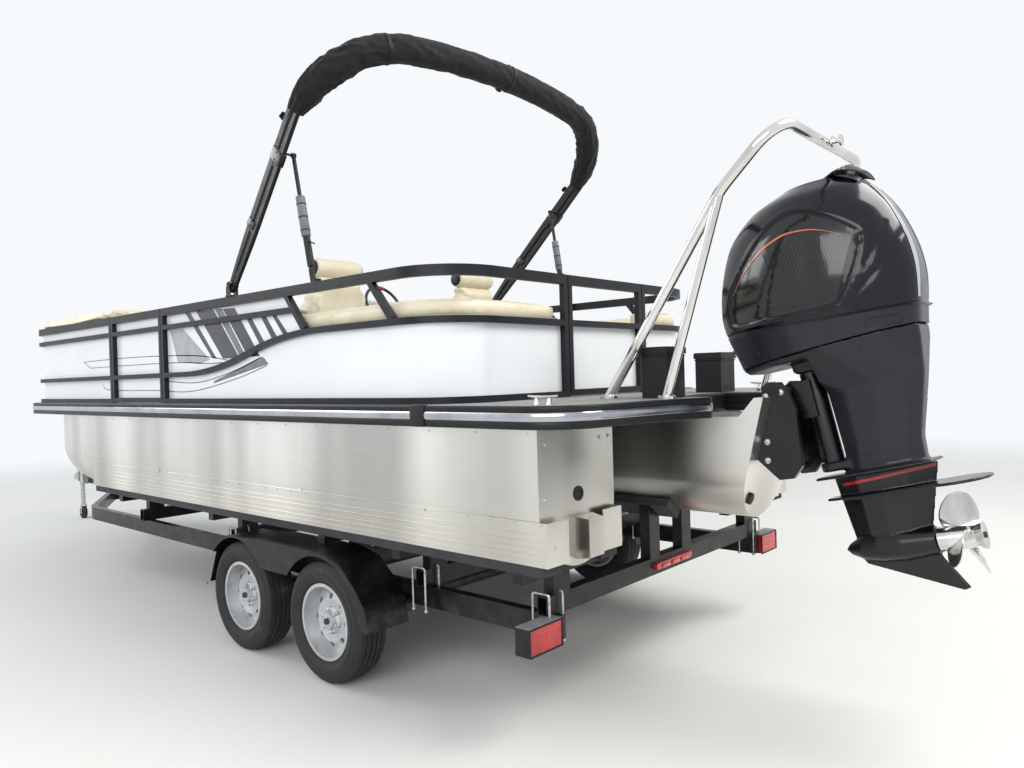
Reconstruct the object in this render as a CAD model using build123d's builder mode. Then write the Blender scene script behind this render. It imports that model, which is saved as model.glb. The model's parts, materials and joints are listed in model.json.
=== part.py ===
"""Pontoon boat with an outboard motor, standing on its tandem-axle trailer.

Millimetres. +X is the bow, +Y is port, +Z is up, and the ground is at Z = 0.
While the boat is drawn, X = 0 is the aft face of the stern fence.
At the end everything moves along X, so that the origin is under the middle of the whole.
"""
from build123d import *
from math import atan2, cos, hypot, radians, sin, sqrt, tan
import os

os.makedirs("parts", exist_ok=True)

# General
SEAT_GAP = 0.3            # gap between a soft or curved piece and what carries it
RUN_GAP = 7.0             # gap round a gate or another moving piece

# Deck
DECK_TOP = 1506.0
DECK_THICK = 24.0
BEAM_HEIGHT = 78.0
BEAM_WIDTH = 70.0
BEAM_WALL = 5.0
BEAM_PITCH = 410.0
DECK_BOW = 5780.0
DECK_HALF = 1270.0
DECK_CORNER = 250.0
STERN_SIDE = -700.0       # aft edge of the deck at its side
STERN_KNEE = -790.0       # aft edge where it starts to run out to the motor
STERN_MID = -890.0        # aft edge beside the motor
KNEE_HALF = 630.0
MID_HALF = 330.0          # half width of the motor notch
NOTCH_BOW = -620.0        # forward edge of the motor notch
RAIL_WALL = 25.0          # rub rail, measured outwards
RAIL_DROP = 101.0
RAIL_GROOVE = 8.0
BUTT_GAP = 1.5            # between lengths of the rub rail

# Pontoons
TUBE_HALF = 280.0         # half width of an outer pontoon
TUBE_Y = 970.0            # centre line of an outer pontoon
TUBE_BOTTOM = 780.0
TUBE_STERN = -550.0
NOSE_START = 4500.0
NOSE_TIP = 5640.0
TUBE_WALL = 4.0
MID_TUBE_HALF = 250.0
MID_TUBE_BOTTOM = 885.0
POD_TOP = 1497.0
POD_KNEE_Z = 1110.0
POD_BOTTOM_X = -950.0
POD_KNEE_X = -1010.0
POD_TOP_X = -1105.0
POD_PLATE = 45.0          # thickness of the transom
POD_GUSSET = 80.0
STRAKE_TOP = 1010.0
STRAKE_BOTTOM = 820.0
STRAKE_STERN = -590.0
STRAKE_BOW = 4290.0

# Fence
FENCE_LENGTH = 5755.0
FENCE_HALF = 1235.0
STERN_RADIUS = 350.0
BOW_RADIUS = 250.0
BAR = 34.0                # square bar of rails and posts
PANEL = 4.0
TOP_HEIGHT = 55.0
TOP_Z = 2192.0            # top of the top rail
SECOND_Z = 2070.0         # tops of the rails below it
THIRD_Z = 1726.0
AFT_PANEL_Z = 1940.0
SWEEP_BOW = 2650.0        # stretch in which the third rail climbs to the aft panel's top
SWEEP_AFT = 1000.0
SIDE_GATE_BOW = 3880.0
SIDE_GATE_AFT = 2980.0
STERN_GATE_PORT = 284.0
STERN_GATE_STBD = -491.0
BOW_GATE_HALF = 390.0
STRUT_TOP_X = 1390.0
STRUT_LEAN = 200.0
STRUT_SHORT_X = 610.0
HINGE_Z = (1640.0, 2010.0)
HINGE_R = 8.0
HINGE_PIN = 4.0
HINGE_LEAF = 22.0
HINGE_HIGH = 40.0

# Furniture
WALL_GAP = 7.0
BASE_TOP = 1836.0
SEAT_TOP = 1936.0
SHELL = 40.0              # moulded back behind the pads
PAD = 75.0
SEAM = 4.0                # gap between two cushions
SOFT = 22.0               # rounding of a cushion's edges
BOW_SHELL_Z = 2200.0
BOW_BACK_Z = 2290.0
AFT_SHELL_Z = 1950.0
AFT_BACK_Z = 2020.0
BOW_SEAT = (3950.0, 5600.0)
SEAT_IN = 560.0
AFT_SEAT_PORT = 1500.0
AFT_SEAT_STBD = 1300.0
CORNER_SEAT_X = 650.0
CORNER_SEAT_Y = 330.0
ARM_Z = 1975.0
CONSOLE_AFT = 2830.0
CONSOLE_LENGTH = 520.0
CONSOLE_BOW = CONSOLE_AFT + CONSOLE_LENGTH
CONSOLE_Y = -600.0
CONSOLE_HALF = 350.0
CONSOLE_TOP = 2350.0
HELM_X = CONSOLE_AFT - 130.0
HELM_Z = CONSOLE_TOP - 70.0
HELM_R = 180.0
HELM_RAKE = 25.0
HELM_PIN = 10.0
CHAIRS = (("helm_chair", 1870.0, -600.0), ("companion_chair", 1980.0, 600.0))
PEDESTAL_TOP = 1840.0
CHAIR_PIN = 20.0
CHAIR_TOP = 2450.0
CHAIR_HALF = 245.0

# Outboard, drawn in its own side plane: u forward, w up, from the tilt tube
TILT_X = -1136.0
TILT_Z = 1520.0
TRIM = 13.5
STEER_U = -120.0
STEER_SHAFT = 30.0
COWL_FRONT = 175.0
COWL_BACK = -700.0
PROP_W = -787.0
PROP_RADIUS = 195.0

MOTOR_GAP = 8.0           # between the clamp plates and what tilts inside them
CLAMP_IN = 123.0          # inner face of a clamp plate
CLAMP_PLATE = 30.0
TILT_PIN = 14.0
TILT_BOSS = 30.0
SWIVEL_R = 52.0
SWIVEL_LOW = -372.0       # lower and upper end of the swivel tube
SWIVEL_HIGH = 62.0
YOKE = 46.0
LEG_FRONT = -190.0        # forward face of the leg behind the swivel tube
SEAM_W = 150.0            # joint of the cowl and the leg
COWL_WALL = 6.0
LEG_LOW = -450.0
PLATE_W = -552.0          # plate over the propeller
TORPEDO_R = 75.0
HUB_FRONT = -480.0
HUB_BACK = -655.0
HUB_R = 55.0
SHAFT_R = 14.0

# Tow arch
ARCH_HALF = 545.0
ARCH_TUBE = 25.0
ARCH_FOOT = 44.0
ARCH_FRONT = -440.0
ARCH_REAR = -765.0
ARCH_KNEE = (-1060.0, 2430.0)
ARCH_TOP = (-1335.0, 2690.0)
BOX_PORT = ((-740.0, -600.0), (325.0, 495.0), 1755.0)
BOX_STBD = ((-610.0, -450.0), (-495.0, -325.0), 1735.0)

# Bimini top
BOW_FOOT_X = 1985.0
BOW_LEAN = 44.6           # degrees aft of upright
BOW_FOOT_HALF = 1215.0
BOW_PIVOT = 42.0          # pivot over the top rail
BOW_SHOULDER = (1330.0, 1730.0)
BOW_CROWN = 1900.0        # where the two slopes of the top would meet, along the lean
BOW_TUBE = 14.0
BOW_PITCH = 34.0          # between the two nested bows
BOW_PIN = 7.0
BOOT_RADIUS = 88.0
BOOT_INNER = 31.3
BOOT_START = 1400.0
BRACE_TUBE = 12.0
BRACE_EYE = 15.0
BRACE_FOOT = (1145.0, 1172.0, 2207.0)
BRACE_TOP_Y = 1192.0
BRACE_TOP_RISE = 1005.0   # place of its pin on the leg, along the lean

# Trailer
WHEEL_R = 332.0
WHEEL_WIDTH = 205.0
WHEEL_OUT = 1350.0
AXLE_X = (1774.0, 917.0)
RIM_R = 196.0
FRAME_OUT = 1050.0
FRAME_WIDTH = 50.0
FRAME_Z = 440.0
FRAME_HEIGHT = 110.0
FRAME_STERN = -480.0
FRAME_BEND = 4950.0
FRAME_APEX = 6850.0       # where the two side rails would meet
BEND_RADIUS = 400.0
TONGUE_STERN = 5900.0
TONGUE_BOW = 8130.0
TONGUE_WIDTH = 80.0
COUPLER_X = 8250.0
CROSS_X = (3750.0, 2300.0, 1040.0, 400.0, -420.0)
CROSS_HEIGHT = 90.0
CROSS_WIDTH = 60.0
CROSS_WALL = 6.0
BUNK_THICK = 45.0
BUNK_WIDTH = 130.0
BUNK_STERN = -560.0
BUNK_BOW = 4250.0
MID_BUNK_TILT = 35.0
ARM_HEIGHT = 45.0
FENDER_OUT = 1370.0
FENDER_IN = 1100.0
FENDER_TOP = 715.0
FENDER_SHEET = 4.0
ARCH_GAP = 30.0
AXLE_R = 38.0
SPINDLE_R = 17.0
SPRING_THICK = 28.0
JACK_X = 7860.0
JACK_Y = 88.0
JACK_R = 30.0
JACK_WALL = 4.0
JACK_TRAVEL = 250.0
JACK_GRIP = 210.0         # length of the leg inside the tube
JACK_WHEEL_R = 75.0
JACK_WHEEL_WIDTH = 45.0
WINCH_X = 5950.0
BOW_STOP_Z = 1310.0

pieces = {}


def keep(name, piece):
    """Label a finished piece and put it on the list of what is written."""
    piece.label = name
    pieces[name] = piece


# Pontoons: a U section with flat sides, pointed at the bow

def u_section(plane, half, bottom, top):
    """Flat-sided section with a round bottom, on a plane whose X runs across and Y runs up."""
    with BuildSketch(plane) as section:
        with BuildLine():
            Line((-half, top), (-half, bottom + half))
            ThreePointArc((-half, bottom + half), (0, bottom), (half, bottom + half))
            Line((half, bottom + half), (half, top))
            Line((half, top), (-half, top))
        make_face()
    return section.sketch


FORWARD = (1, 0, 0)


def across(x, y=0.0):
    """Plane square to the boat at x, its own X to port and its Y up."""
    return Plane(origin=(x, y, 0), x_dir=(0, 1, 0), z_dir=(1, 0, 0))


TUBE_TOP = DECK_TOP - DECK_THICK - BEAM_HEIGHT
# Bow sections: part of the way to the tip, half width as a share, rise of the bottom
NOSE_SECTIONS = (
    (0.0, 1.00, 0.0),
    (0.55, 0.72, 95.0),
    (1.0, 0.10, 330.0),
)


def nose(y, half, bottom, top, inset):
    """Pointed bow of a pontoon, every wall moved in by inset."""
    reach = NOSE_TIP - NOSE_START
    with BuildPart(mode=Mode.PRIVATE) as solid:
        for share, width, rise in NOSE_SECTIONS:
            slim = max(half * width - inset, 6.0)
            add(u_section(across(NOSE_START + reach * share - inset * share, y), slim,
                          bottom + rise + inset, top - inset))
        loft()
    return solid.part


def hull(y, half, bottom, stern, top, inset):
    """Solid pontoon from its stern to its pointed bow, every wall moved in by inset."""
    with BuildPart(mode=Mode.PRIVATE) as solid:
        add(u_section(across(stern + inset, y), half - inset, bottom + inset, top - inset))
        extrude(amount=NOSE_START - stern - inset, dir=FORWARD)
        add(nose(y, half, bottom, top, inset))
    return solid.part


def strake(y, side, inset):
    """Lifting strake that squares off the lower outer or inner side of a pontoon."""
    low = TUBE_BOTTOM + TUBE_HALF
    touch = sqrt(TUBE_HALF ** 2 - (low - STRAKE_BOTTOM) ** 2)
    edge = TUBE_HALF - inset
    with BuildPart(mode=Mode.PRIVATE) as solid:
        with BuildSketch(across(STRAKE_STERN + inset, y)):
            with BuildLine():
                Polyline((side * edge, STRAKE_TOP), (side * edge, STRAKE_BOTTOM + inset),
                         (side * touch * 0.9, STRAKE_BOTTOM + inset), (side * touch * 0.9, STRAKE_TOP),
                         close=True)
            make_face()
        extrude(amount=STRAKE_BOW - STRAKE_STERN - 2 * inset, dir=FORWARD)
    return solid.part


def outer_pontoon(y):
    """Outer pontoon: a thin skin, a strake on each side and a stiffened transom."""
    shell = hull(y, TUBE_HALF, TUBE_BOTTOM, TUBE_STERN, TUBE_TOP, 0.0)
    with BuildPart() as tube:
        add(shell)
        for side in (1, -1):
            add(strake(y, side, 0.0))
        add(hull(y, TUBE_HALF, TUBE_BOTTOM, TUBE_STERN, TUBE_TOP, TUBE_WALL), mode=Mode.SUBTRACT)
        for side in (1, -1):
            add(strake(y, side, TUBE_WALL) - shell, mode=Mode.SUBTRACT)
        # Sounder pad on the transom
        with BuildSketch(Plane(origin=(TUBE_STERN, y, 0), x_dir=(0, 1, 0), z_dir=(-1, 0, 0))):
            with Locations((-35.0, -905.0)):
                Rectangle(130, 190)
        extrude(amount=70, taper=8)
    return tube.part


keep("pontoon_port", outer_pontoon(TUBE_Y))
keep("pontoon_starboard", outer_pontoon(-TUBE_Y))


def pod_void():
    """Inside of the centre pontoon, up to its sloping transom."""
    climb = (TUBE_TOP - POD_KNEE_Z) / (POD_TOP - POD_KNEE_Z)
    with BuildPart(mode=Mode.PRIVATE) as void:
        with BuildSketch(Plane.XZ):
            with BuildLine():
                Polyline(
                    (POD_BOTTOM_X + POD_PLATE, MID_TUBE_BOTTOM),
                    (POD_KNEE_X + POD_PLATE, POD_KNEE_Z),
                    (POD_KNEE_X + (POD_TOP_X - POD_KNEE_X) * climb + POD_PLATE, TUBE_TOP - TUBE_WALL),
                    (NOSE_START, TUBE_TOP - TUBE_WALL), (NOSE_START, MID_TUBE_BOTTOM), close=True)
            make_face()
        extrude(amount=MID_TUBE_HALF, both=True)
        add(u_section(across(POD_TOP_X), MID_TUBE_HALF - TUBE_WALL, MID_TUBE_BOTTOM + TUBE_WALL, TUBE_TOP))
        extrude(amount=NOSE_START - POD_TOP_X, dir=FORWARD, mode=Mode.INTERSECT)
    return void.part


with BuildPart() as pontoon_center:
    # Side view, with the motor's transom at the stern
    with BuildSketch(Plane.XZ):
        with BuildLine():
            Polyline(
                (POD_BOTTOM_X, MID_TUBE_BOTTOM), (POD_KNEE_X, POD_KNEE_Z), (POD_TOP_X, POD_TOP),
                (POD_TOP_X + POD_PLATE, POD_TOP), (POD_TOP_X + POD_PLATE + POD_GUSSET, TUBE_TOP),
                (NOSE_START, TUBE_TOP), (NOSE_START, MID_TUBE_BOTTOM), close=True)
        make_face()
    extrude(amount=MID_TUBE_HALF, both=True)
    add(u_section(across(POD_TOP_X), MID_TUBE_HALF, MID_TUBE_BOTTOM, POD_TOP))
    extrude(amount=NOSE_START - POD_TOP_X, dir=FORWARD, mode=Mode.INTERSECT)
    add(nose(0, MID_TUBE_HALF, MID_TUBE_BOTTOM, TUBE_TOP, 0.0))
    add(pod_void(), mode=Mode.SUBTRACT)
    add(nose(0, MID_TUBE_HALF, MID_TUBE_BOTTOM, TUBE_TOP, TUBE_WALL), mode=Mode.SUBTRACT)
keep("pontoon_center", pontoon_center.part)


# Deck, its cross beams and the rub rail

def deck_outline(grow):
    """Plan of the deck, grown outwards by grow; the stern runs out to both sides of the motor notch."""
    half = DECK_HALF + grow
    with BuildSketch() as plan:
        with BuildLine():
            Polyline(
                (DECK_BOW + grow, half), (STERN_SIDE - grow, half), (STERN_KNEE - grow, KNEE_HALF),
                (STERN_MID - grow, MID_HALF - grow), (NOTCH_BOW - grow, MID_HALF - grow),
                (NOTCH_BOW - grow, grow - MID_HALF), (STERN_MID - grow, grow - MID_HALF),
                (STERN_KNEE - grow, -KNEE_HALF), (STERN_SIDE - grow, -half), (DECK_BOW + grow, -half),
                close=True,
            )
        make_face()
        corners = plan.vertices()
        fillet(corners.sort_by(Axis.X)[-2:], DECK_CORNER + grow)
        fillet([v for v in corners if abs(v.X - STERN_SIDE + grow) < 1], DECK_CORNER + grow)
        fillet([v for v in corners if abs(v.X - STERN_MID + grow) < 1], 30 + grow)
    return plan.sketch


with BuildPart() as deck:
    with BuildSketch(Plane.XY.offset(DECK_TOP - DECK_THICK)):
        add(deck_outline(0.0))
    extrude(amount=DECK_THICK)
    fillet(deck.faces().sort_by(Axis.Z)[-1].outer_wire().edges(), 3)
keep("deck", deck.part)

with BuildPart() as rub_rail:
    with BuildSketch(Plane.XY.offset(DECK_TOP - RAIL_DROP)):
        add(deck_outline(RAIL_WALL))
        add(deck_outline(0.0), mode=Mode.SUBTRACT)
    extrude(amount=RAIL_DROP)
    # Groove for the bright insert
    with BuildSketch(Plane.XY.offset(DECK_TOP - 0.62 * RAIL_DROP)):
        add(deck_outline(RAIL_WALL))
        add(deck_outline(RAIL_WALL - RAIL_GROOVE), mode=Mode.SUBTRACT)
    extrude(amount=0.3 * RAIL_DROP, mode=Mode.SUBTRACT)
    # The length across the notch is butted between the two along the notch's sides
    butt_y = MID_HALF - RAIL_WALL - BUTT_GAP / 2
    with BuildSketch(Plane.XY.offset(DECK_TOP - RAIL_DROP)):
        with Locations((NOTCH_BOW - RAIL_WALL / 2, butt_y), (NOTCH_BOW - RAIL_WALL / 2, -butt_y)):
            Rectangle(2 * RAIL_WALL, BUTT_GAP)
    extrude(amount=RAIL_DROP, mode=Mode.SUBTRACT)
keep("rub_rail", rub_rail.part)

BEAM_COUNT = int((DECK_BOW - NOTCH_BOW - 300) / BEAM_PITCH) + 1
with BuildPart() as deck_beams:
    for number in range(BEAM_COUNT):
        x = NOTCH_BOW + 90 + number * BEAM_PITCH
        # C section, open forward
        with BuildSketch(Plane(origin=(x, 0, 0), x_dir=(1, 0, 0), z_dir=(0, -1, 0))):
            with BuildLine():
                low, high = TUBE_TOP, TUBE_TOP + BEAM_HEIGHT
                Polyline((0, low), (BEAM_WIDTH, low), (BEAM_WIDTH, low + BEAM_WALL),
                         (BEAM_WALL, low + BEAM_WALL), (BEAM_WALL, high - BEAM_WALL),
                         (BEAM_WIDTH, high - BEAM_WALL), (BEAM_WIDTH, high), (0, high), close=True)
            make_face()
        extrude(amount=DECK_HALF - 2, both=True)
keep("deck_beams", deck_beams.part)


# Fence: square bars and thin panels that follow one plan outline

def fence_area(inset):
    """Plan inside the fence line, moved in by inset."""
    with BuildSketch(mode=Mode.PRIVATE) as plan:
        with Locations((FENCE_LENGTH / 2, 0)):
            Rectangle(FENCE_LENGTH - 2 * inset, 2 * (FENCE_HALF - inset))
        corners = plan.vertices().sort_by(Axis.X)
        fillet(corners[:2], STERN_RADIUS - inset)
        fillet(plan.vertices().sort_by(Axis.X)[-2:], BOW_RADIUS - inset)
    return plan.sketch


BAND = fence_area(0.0) - fence_area(BAR)
SKIN = fence_area(BAR) - fence_area(BAR + PANEL)
FOOT_Z = DECK_TOP


def strip(plan, places, low, high):
    """Part of a plan band inside the given places (x0, x1, y0, y1), raised from low to high."""
    with BuildPart(mode=Mode.PRIVATE) as raised:
        for x0, x1, y0, y1 in places:
            with BuildSketch(Plane.XY.offset(low)):
                add(plan)
                with Locations(((x0 + x1) / 2, (y0 + y1) / 2)):
                    Rectangle(abs(x1 - x0), abs(y1 - y0), mode=Mode.INTERSECT)
            extrude(amount=high - low)
    return raised.part


def side_bar(y_out, points, thick):
    """Slanting bar in the plane of a fence side, from the lower edge line given by two points."""
    (x0, z0), (x1, z1) = points
    run = hypot(x1 - x0, z1 - z0)
    shift_x, shift_z = -thick * (z1 - z0) / run, thick * (x1 - x0) / run
    side = 1 if y_out > 0 else -1
    with BuildPart(mode=Mode.PRIVATE) as bar:
        with BuildSketch(Plane(origin=(0, y_out, 0), x_dir=(1, 0, 0), z_dir=(0, -1, 0))):
            with BuildLine():
                Polyline((x0, z0), (x1, z1), (x1 + shift_x, z1 + shift_z), (x0 + shift_x, z0 + shift_z),
                         close=True)
            make_face()
        extrude(amount=BAR, dir=(0, -side, 0))
    return bar.part


def sweep_curve(z):
    """S-shaped climb of the third rail: two equal arcs between level runs, upper edge at z = 0 shift."""
    middle = ((SWEEP_BOW + SWEEP_AFT) / 2, (THIRD_Z + AFT_PANEL_Z) / 2 + z)
    first = TangentArc((SWEEP_BOW, THIRD_Z + z), middle, tangent=(-1, 0))
    TangentArc(middle, (SWEEP_AFT, AFT_PANEL_Z + z), tangent=first % 1)


def sweep_rail(y_out, bow_end):
    """Third rail of a fence side, from its bow end to the aft panel's level run."""
    side = 1 if y_out > 0 else -1
    aft_end = STERN_RADIUS
    with BuildPart(mode=Mode.PRIVATE) as rail:
        with BuildSketch(Plane(origin=(0, y_out, 0), x_dir=(1, 0, 0), z_dir=(0, -1, 0))):
            with BuildLine():
                Line((bow_end, THIRD_Z), (SWEEP_BOW, THIRD_Z))
                sweep_curve(0.0)
                Line((SWEEP_AFT, AFT_PANEL_Z), (aft_end, AFT_PANEL_Z))
                Line((aft_end, AFT_PANEL_Z), (aft_end, AFT_PANEL_Z - BAR))
                Line((aft_end, AFT_PANEL_Z - BAR), (SWEEP_AFT, AFT_PANEL_Z - BAR))
                sweep_curve(-BAR)
                Line((SWEEP_BOW, THIRD_Z - BAR), (bow_end, THIRD_Z - BAR))
                Line((bow_end, THIRD_Z - BAR), (bow_end, THIRD_Z))
            make_face()
        extrude(amount=BAR, dir=(0, -side, 0))
    return rail.part


def strut(y_out):
    """Leaning strut that ends the second rail of a fence side."""
    foot = STRUT_TOP_X - STRUT_LEAN
    return side_bar(y_out, ((foot, AFT_PANEL_Z - BAR / 2), (STRUT_TOP_X, TOP_Z - TOP_HEIGHT / 2)), BAR)


def short_strut(y_out):
    """Short leaning strut over the aft panel."""
    return side_bar(y_out, ((STRUT_SHORT_X - STRUT_LEAN, AFT_PANEL_Z - BAR / 2),
                            (STRUT_SHORT_X, TOP_Z - TOP_HEIGHT / 2)), BAR)


HALF = FENCE_HALF
SIDE_IN = HALF - BAR
LEAF_ROOM = HINGE_LEAF + 2


def hinge_plane(x, y, free_end, outward):
    """Plane on a hinge's pin: X towards the gate's free end, Y out of the boat."""
    flip = free_end[0] * outward[1] - free_end[1] * outward[0]
    return Plane(origin=(x, y, 0), x_dir=(*free_end, 0), z_dir=(0, 0, flip))


def leaf(side, reach, wide, centre):
    """Leaf of a hinge: a narrow tongue at the pin and a wide plate on the bar."""
    with BuildPart(mode=Mode.PRIVATE) as plate:
        for near, high in ((0.0, reach), (HINGE_R + 1, wide)):
            for middle, tall in high:
                with BuildSketch(Plane.XY.offset(centre + middle)):
                    with Locations((side * (near + RUN_GAP / 2 + HINGE_LEAF) / 2, 0.75 * HINGE_R)):
                        Rectangle(RUN_GAP / 2 + HINGE_LEAF - near, 0.5 * HINGE_R)
                extrude(amount=tall / 2, both=True)
    return plate.part


def hinge(plane, on_gate):
    """Both hinges of a gate: knuckles and leaves on the gate, or lugs, pins and leaves on its post."""
    third = HINGE_HIGH / 3
    turn = plane.z_dir.Z
    with BuildPart(mode=Mode.PRIVATE) as parts:
        for z in HINGE_Z:
            high = z * turn
            if on_gate:
                with Locations((0, 0, high)):
                    Cylinder(HINGE_R, third - 2 * SEAT_GAP)
                add(leaf(1, ((0, third - 2 * SEAT_GAP),), ((0, HINGE_HIGH),), high))
                with Locations((0, 0, high)):
                    Cylinder(HINGE_PIN + SEAT_GAP, HINGE_HIGH, mode=Mode.SUBTRACT)
            else:
                with Locations((0, 0, high + third), (0, 0, high - third)):
                    Cylinder(HINGE_R, third)
                add(leaf(-1, ((third, third), (-third, third)), ((0, HINGE_HIGH),), high))
                with Locations((0, 0, high)):
                    Cylinder(HINGE_PIN, HINGE_HIGH)
    return plane * parts.part


SIDE_HINGE = hinge_plane(SIDE_GATE_BOW - RUN_GAP / 2, SIDE_IN - HINGE_R, (-1, 0), (0, 1))
STERN_HINGE = hinge_plane(BAR + HINGE_R, STERN_GATE_PORT - RUN_GAP / 2, (0, -1), (-1, 0))
BOW_HINGE = hinge_plane(FENCE_LENGTH - BAR - HINGE_R, BOW_GATE_HALF - RUN_GAP / 2, (0, -1), (1, 0))
SECOND_AFT = STRUT_TOP_X - STRUT_LEAN / 2

# Aft port section: round the stern corner, from the stern gate to the side gate
with BuildPart() as fence_port_aft:
    reach = ((-10, SIDE_GATE_AFT, STERN_GATE_PORT, HALF + 10),)
    add(strip(BAND, reach, FOOT_Z, FOOT_Z + BAR))
    add(strip(BAND, reach, TOP_Z - TOP_HEIGHT, TOP_Z))
    add(strip(BAND, ((-10, STERN_RADIUS, STERN_GATE_PORT, HALF + 10),), AFT_PANEL_Z - BAR, AFT_PANEL_Z))
    add(sweep_rail(HALF, SIDE_GATE_AFT))
    add(strip(BAND, ((SECOND_AFT, SIDE_GATE_AFT, SIDE_IN, HALF),), SECOND_Z - BAR, SECOND_Z))
    add(strut(HALF))
    add(short_strut(HALF))
    posts = ((SIDE_GATE_AFT - BAR, SIDE_GATE_AFT, SIDE_IN, HALF),
             (0, BAR, STERN_GATE_PORT, STERN_GATE_PORT + BAR))
    add(strip(BAND, posts, FOOT_Z, TOP_Z))
    add(hinge(STERN_HINGE, False))
keep("fence_port_aft", fence_port_aft.part)

# Bow port section: from the side gate round the bow corner to the bow gate
with BuildPart() as fence_port_bow:
    reach = ((SIDE_GATE_BOW, FENCE_LENGTH + 10, BOW_GATE_HALF, HALF + 10),)
    add(strip(BAND, reach, FOOT_Z, FOOT_Z + BAR))
    add(strip(BAND, reach, THIRD_Z - BAR, THIRD_Z))
    add(strip(BAND, reach, SECOND_Z - BAR, SECOND_Z))
    add(strip(BAND, reach, TOP_Z - TOP_HEIGHT, TOP_Z))
    posts = ((SIDE_GATE_BOW, SIDE_GATE_BOW + BAR, SIDE_IN, HALF),
             (FENCE_LENGTH - BAR, FENCE_LENGTH, BOW_GATE_HALF, BOW_GATE_HALF + BAR))
    add(strip(BAND, posts, FOOT_Z, TOP_Z))
    add(hinge(SIDE_HINGE, False))
    add(hinge(BOW_HINGE, False))
keep("fence_port_bow", fence_port_bow.part)

# Starboard section: from the stern gate all the way to the bow gate
with BuildPart() as fence_starboard:
    reach = ((-10, FENCE_LENGTH + 10, -HALF - 10, STERN_GATE_STBD),)
    reach_bow = ((SIDE_GATE_AFT, FENCE_LENGTH + 10, -HALF - 10, -BOW_GATE_HALF),)
    foot = strip(BAND, reach, FOOT_Z, FOOT_Z + BAR)
    add(foot)
    add(strip(BAND, ((FENCE_LENGTH / 2, FENCE_LENGTH + 10, STERN_GATE_STBD, -BOW_GATE_HALF),),
              FOOT_Z, FOOT_Z + BAR))
    add(strip(BAND, reach, TOP_Z - TOP_HEIGHT, TOP_Z))
    add(strip(BAND, ((FENCE_LENGTH / 2, FENCE_LENGTH + 10, STERN_GATE_STBD, -BOW_GATE_HALF),),
              TOP_Z - TOP_HEIGHT, TOP_Z))
    add(strip(BAND, ((-10, STERN_RADIUS, -HALF - 10, STERN_GATE_STBD),), AFT_PANEL_Z - BAR, AFT_PANEL_Z))
    add(sweep_rail(-HALF, SIDE_GATE_AFT))
    add(strip(BAND, reach_bow, THIRD_Z - BAR, THIRD_Z))
    add(strip(BAND, ((SECOND_AFT, FENCE_LENGTH + 10, -HALF - 10, -BOW_GATE_HALF),),
              SECOND_Z - BAR, SECOND_Z))
    add(strut(-HALF))
    add(short_strut(-HALF))
    posts = ((SIDE_GATE_AFT - BAR, SIDE_GATE_AFT, -HALF, -SIDE_IN),
             (SIDE_GATE_BOW, SIDE_GATE_BOW + BAR, -HALF, -SIDE_IN),
             (0, BAR, STERN_GATE_STBD - BAR, STERN_GATE_STBD),
             (FENCE_LENGTH - BAR, FENCE_LENGTH, -BOW_GATE_HALF - BAR, -BOW_GATE_HALF))
    add(strip(BAND, posts, FOOT_Z, TOP_Z))
keep("fence_starboard", fence_starboard.part)


# Panels behind the bars

def panel_cut():
    """Side view of what the aft panels leave open under the top rail."""
    foot = STRUT_TOP_X - STRUT_LEAN
    with BuildPart(mode=Mode.PRIVATE) as cut:
        with BuildSketch(Plane.XZ):
            with BuildLine():
                Polyline((-50, AFT_PANEL_Z), (foot, AFT_PANEL_Z), (STRUT_TOP_X - BAR / 2, TOP_Z - TOP_HEIGHT),
                         (STRUT_TOP_X - BAR / 2, TOP_Z + 50), (-50, TOP_Z + 50), close=True)
            make_face()
        extrude(amount=FENCE_HALF + 50, both=True)
    return cut.part


PANEL_HIGH = TOP_Z - TOP_HEIGHT / 2
with BuildPart() as panels_port:
    add(strip(SKIN, ((-10, SIDE_GATE_AFT, STERN_GATE_PORT + LEAF_ROOM, HALF),), FOOT_Z, PANEL_HIGH))
    add(panel_cut(), mode=Mode.SUBTRACT)
    add(strip(SKIN, ((SIDE_GATE_BOW + LEAF_ROOM, FENCE_LENGTH, BOW_GATE_HALF + LEAF_ROOM, HALF),),
              FOOT_Z, PANEL_HIGH))
keep("panels_port", panels_port.part)

with BuildPart() as panels_starboard:
    add(strip(SKIN, ((-10, FENCE_LENGTH / 2, -HALF, STERN_GATE_STBD),
                     (FENCE_LENGTH / 2, FENCE_LENGTH, -HALF, -BOW_GATE_HALF)), FOOT_Z, PANEL_HIGH))
    add(panel_cut(), mode=Mode.SUBTRACT)
keep("panels_starboard", panels_starboard.part)


# Gates: a frame of the same bars and its panel, hinged at one stile

def gate_frame(place, rails, stiles, pin):
    """Frame of a gate within a place of the fence band, with its halves of the hinges."""
    with BuildPart(mode=Mode.PRIVATE) as frame:
        for low, high in rails:
            add(strip(BAND, (place,), low, high))
        add(strip(BAND, stiles, FOOT_Z + RUN_GAP, TOP_Z))
        add(hinge(pin, True))
    return frame.part


LOW_RAIL = (FOOT_Z + RUN_GAP, FOOT_Z + RUN_GAP + BAR)
TOP_RAIL = (TOP_Z - TOP_HEIGHT, TOP_Z)
SECOND_RAIL = (SECOND_Z - BAR, SECOND_Z)
THIRD_RAIL = (THIRD_Z - BAR, THIRD_Z)
AFT_RAIL = (AFT_PANEL_Z - BAR, AFT_PANEL_Z)
GATE_LOW = FOOT_Z + RUN_GAP

side_aft, side_bow = SIDE_GATE_AFT + RUN_GAP, SIDE_GATE_BOW - RUN_GAP
stern_stbd, stern_port = STERN_GATE_STBD + RUN_GAP, STERN_GATE_PORT - RUN_GAP
bow_half = BOW_GATE_HALF - RUN_GAP
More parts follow.
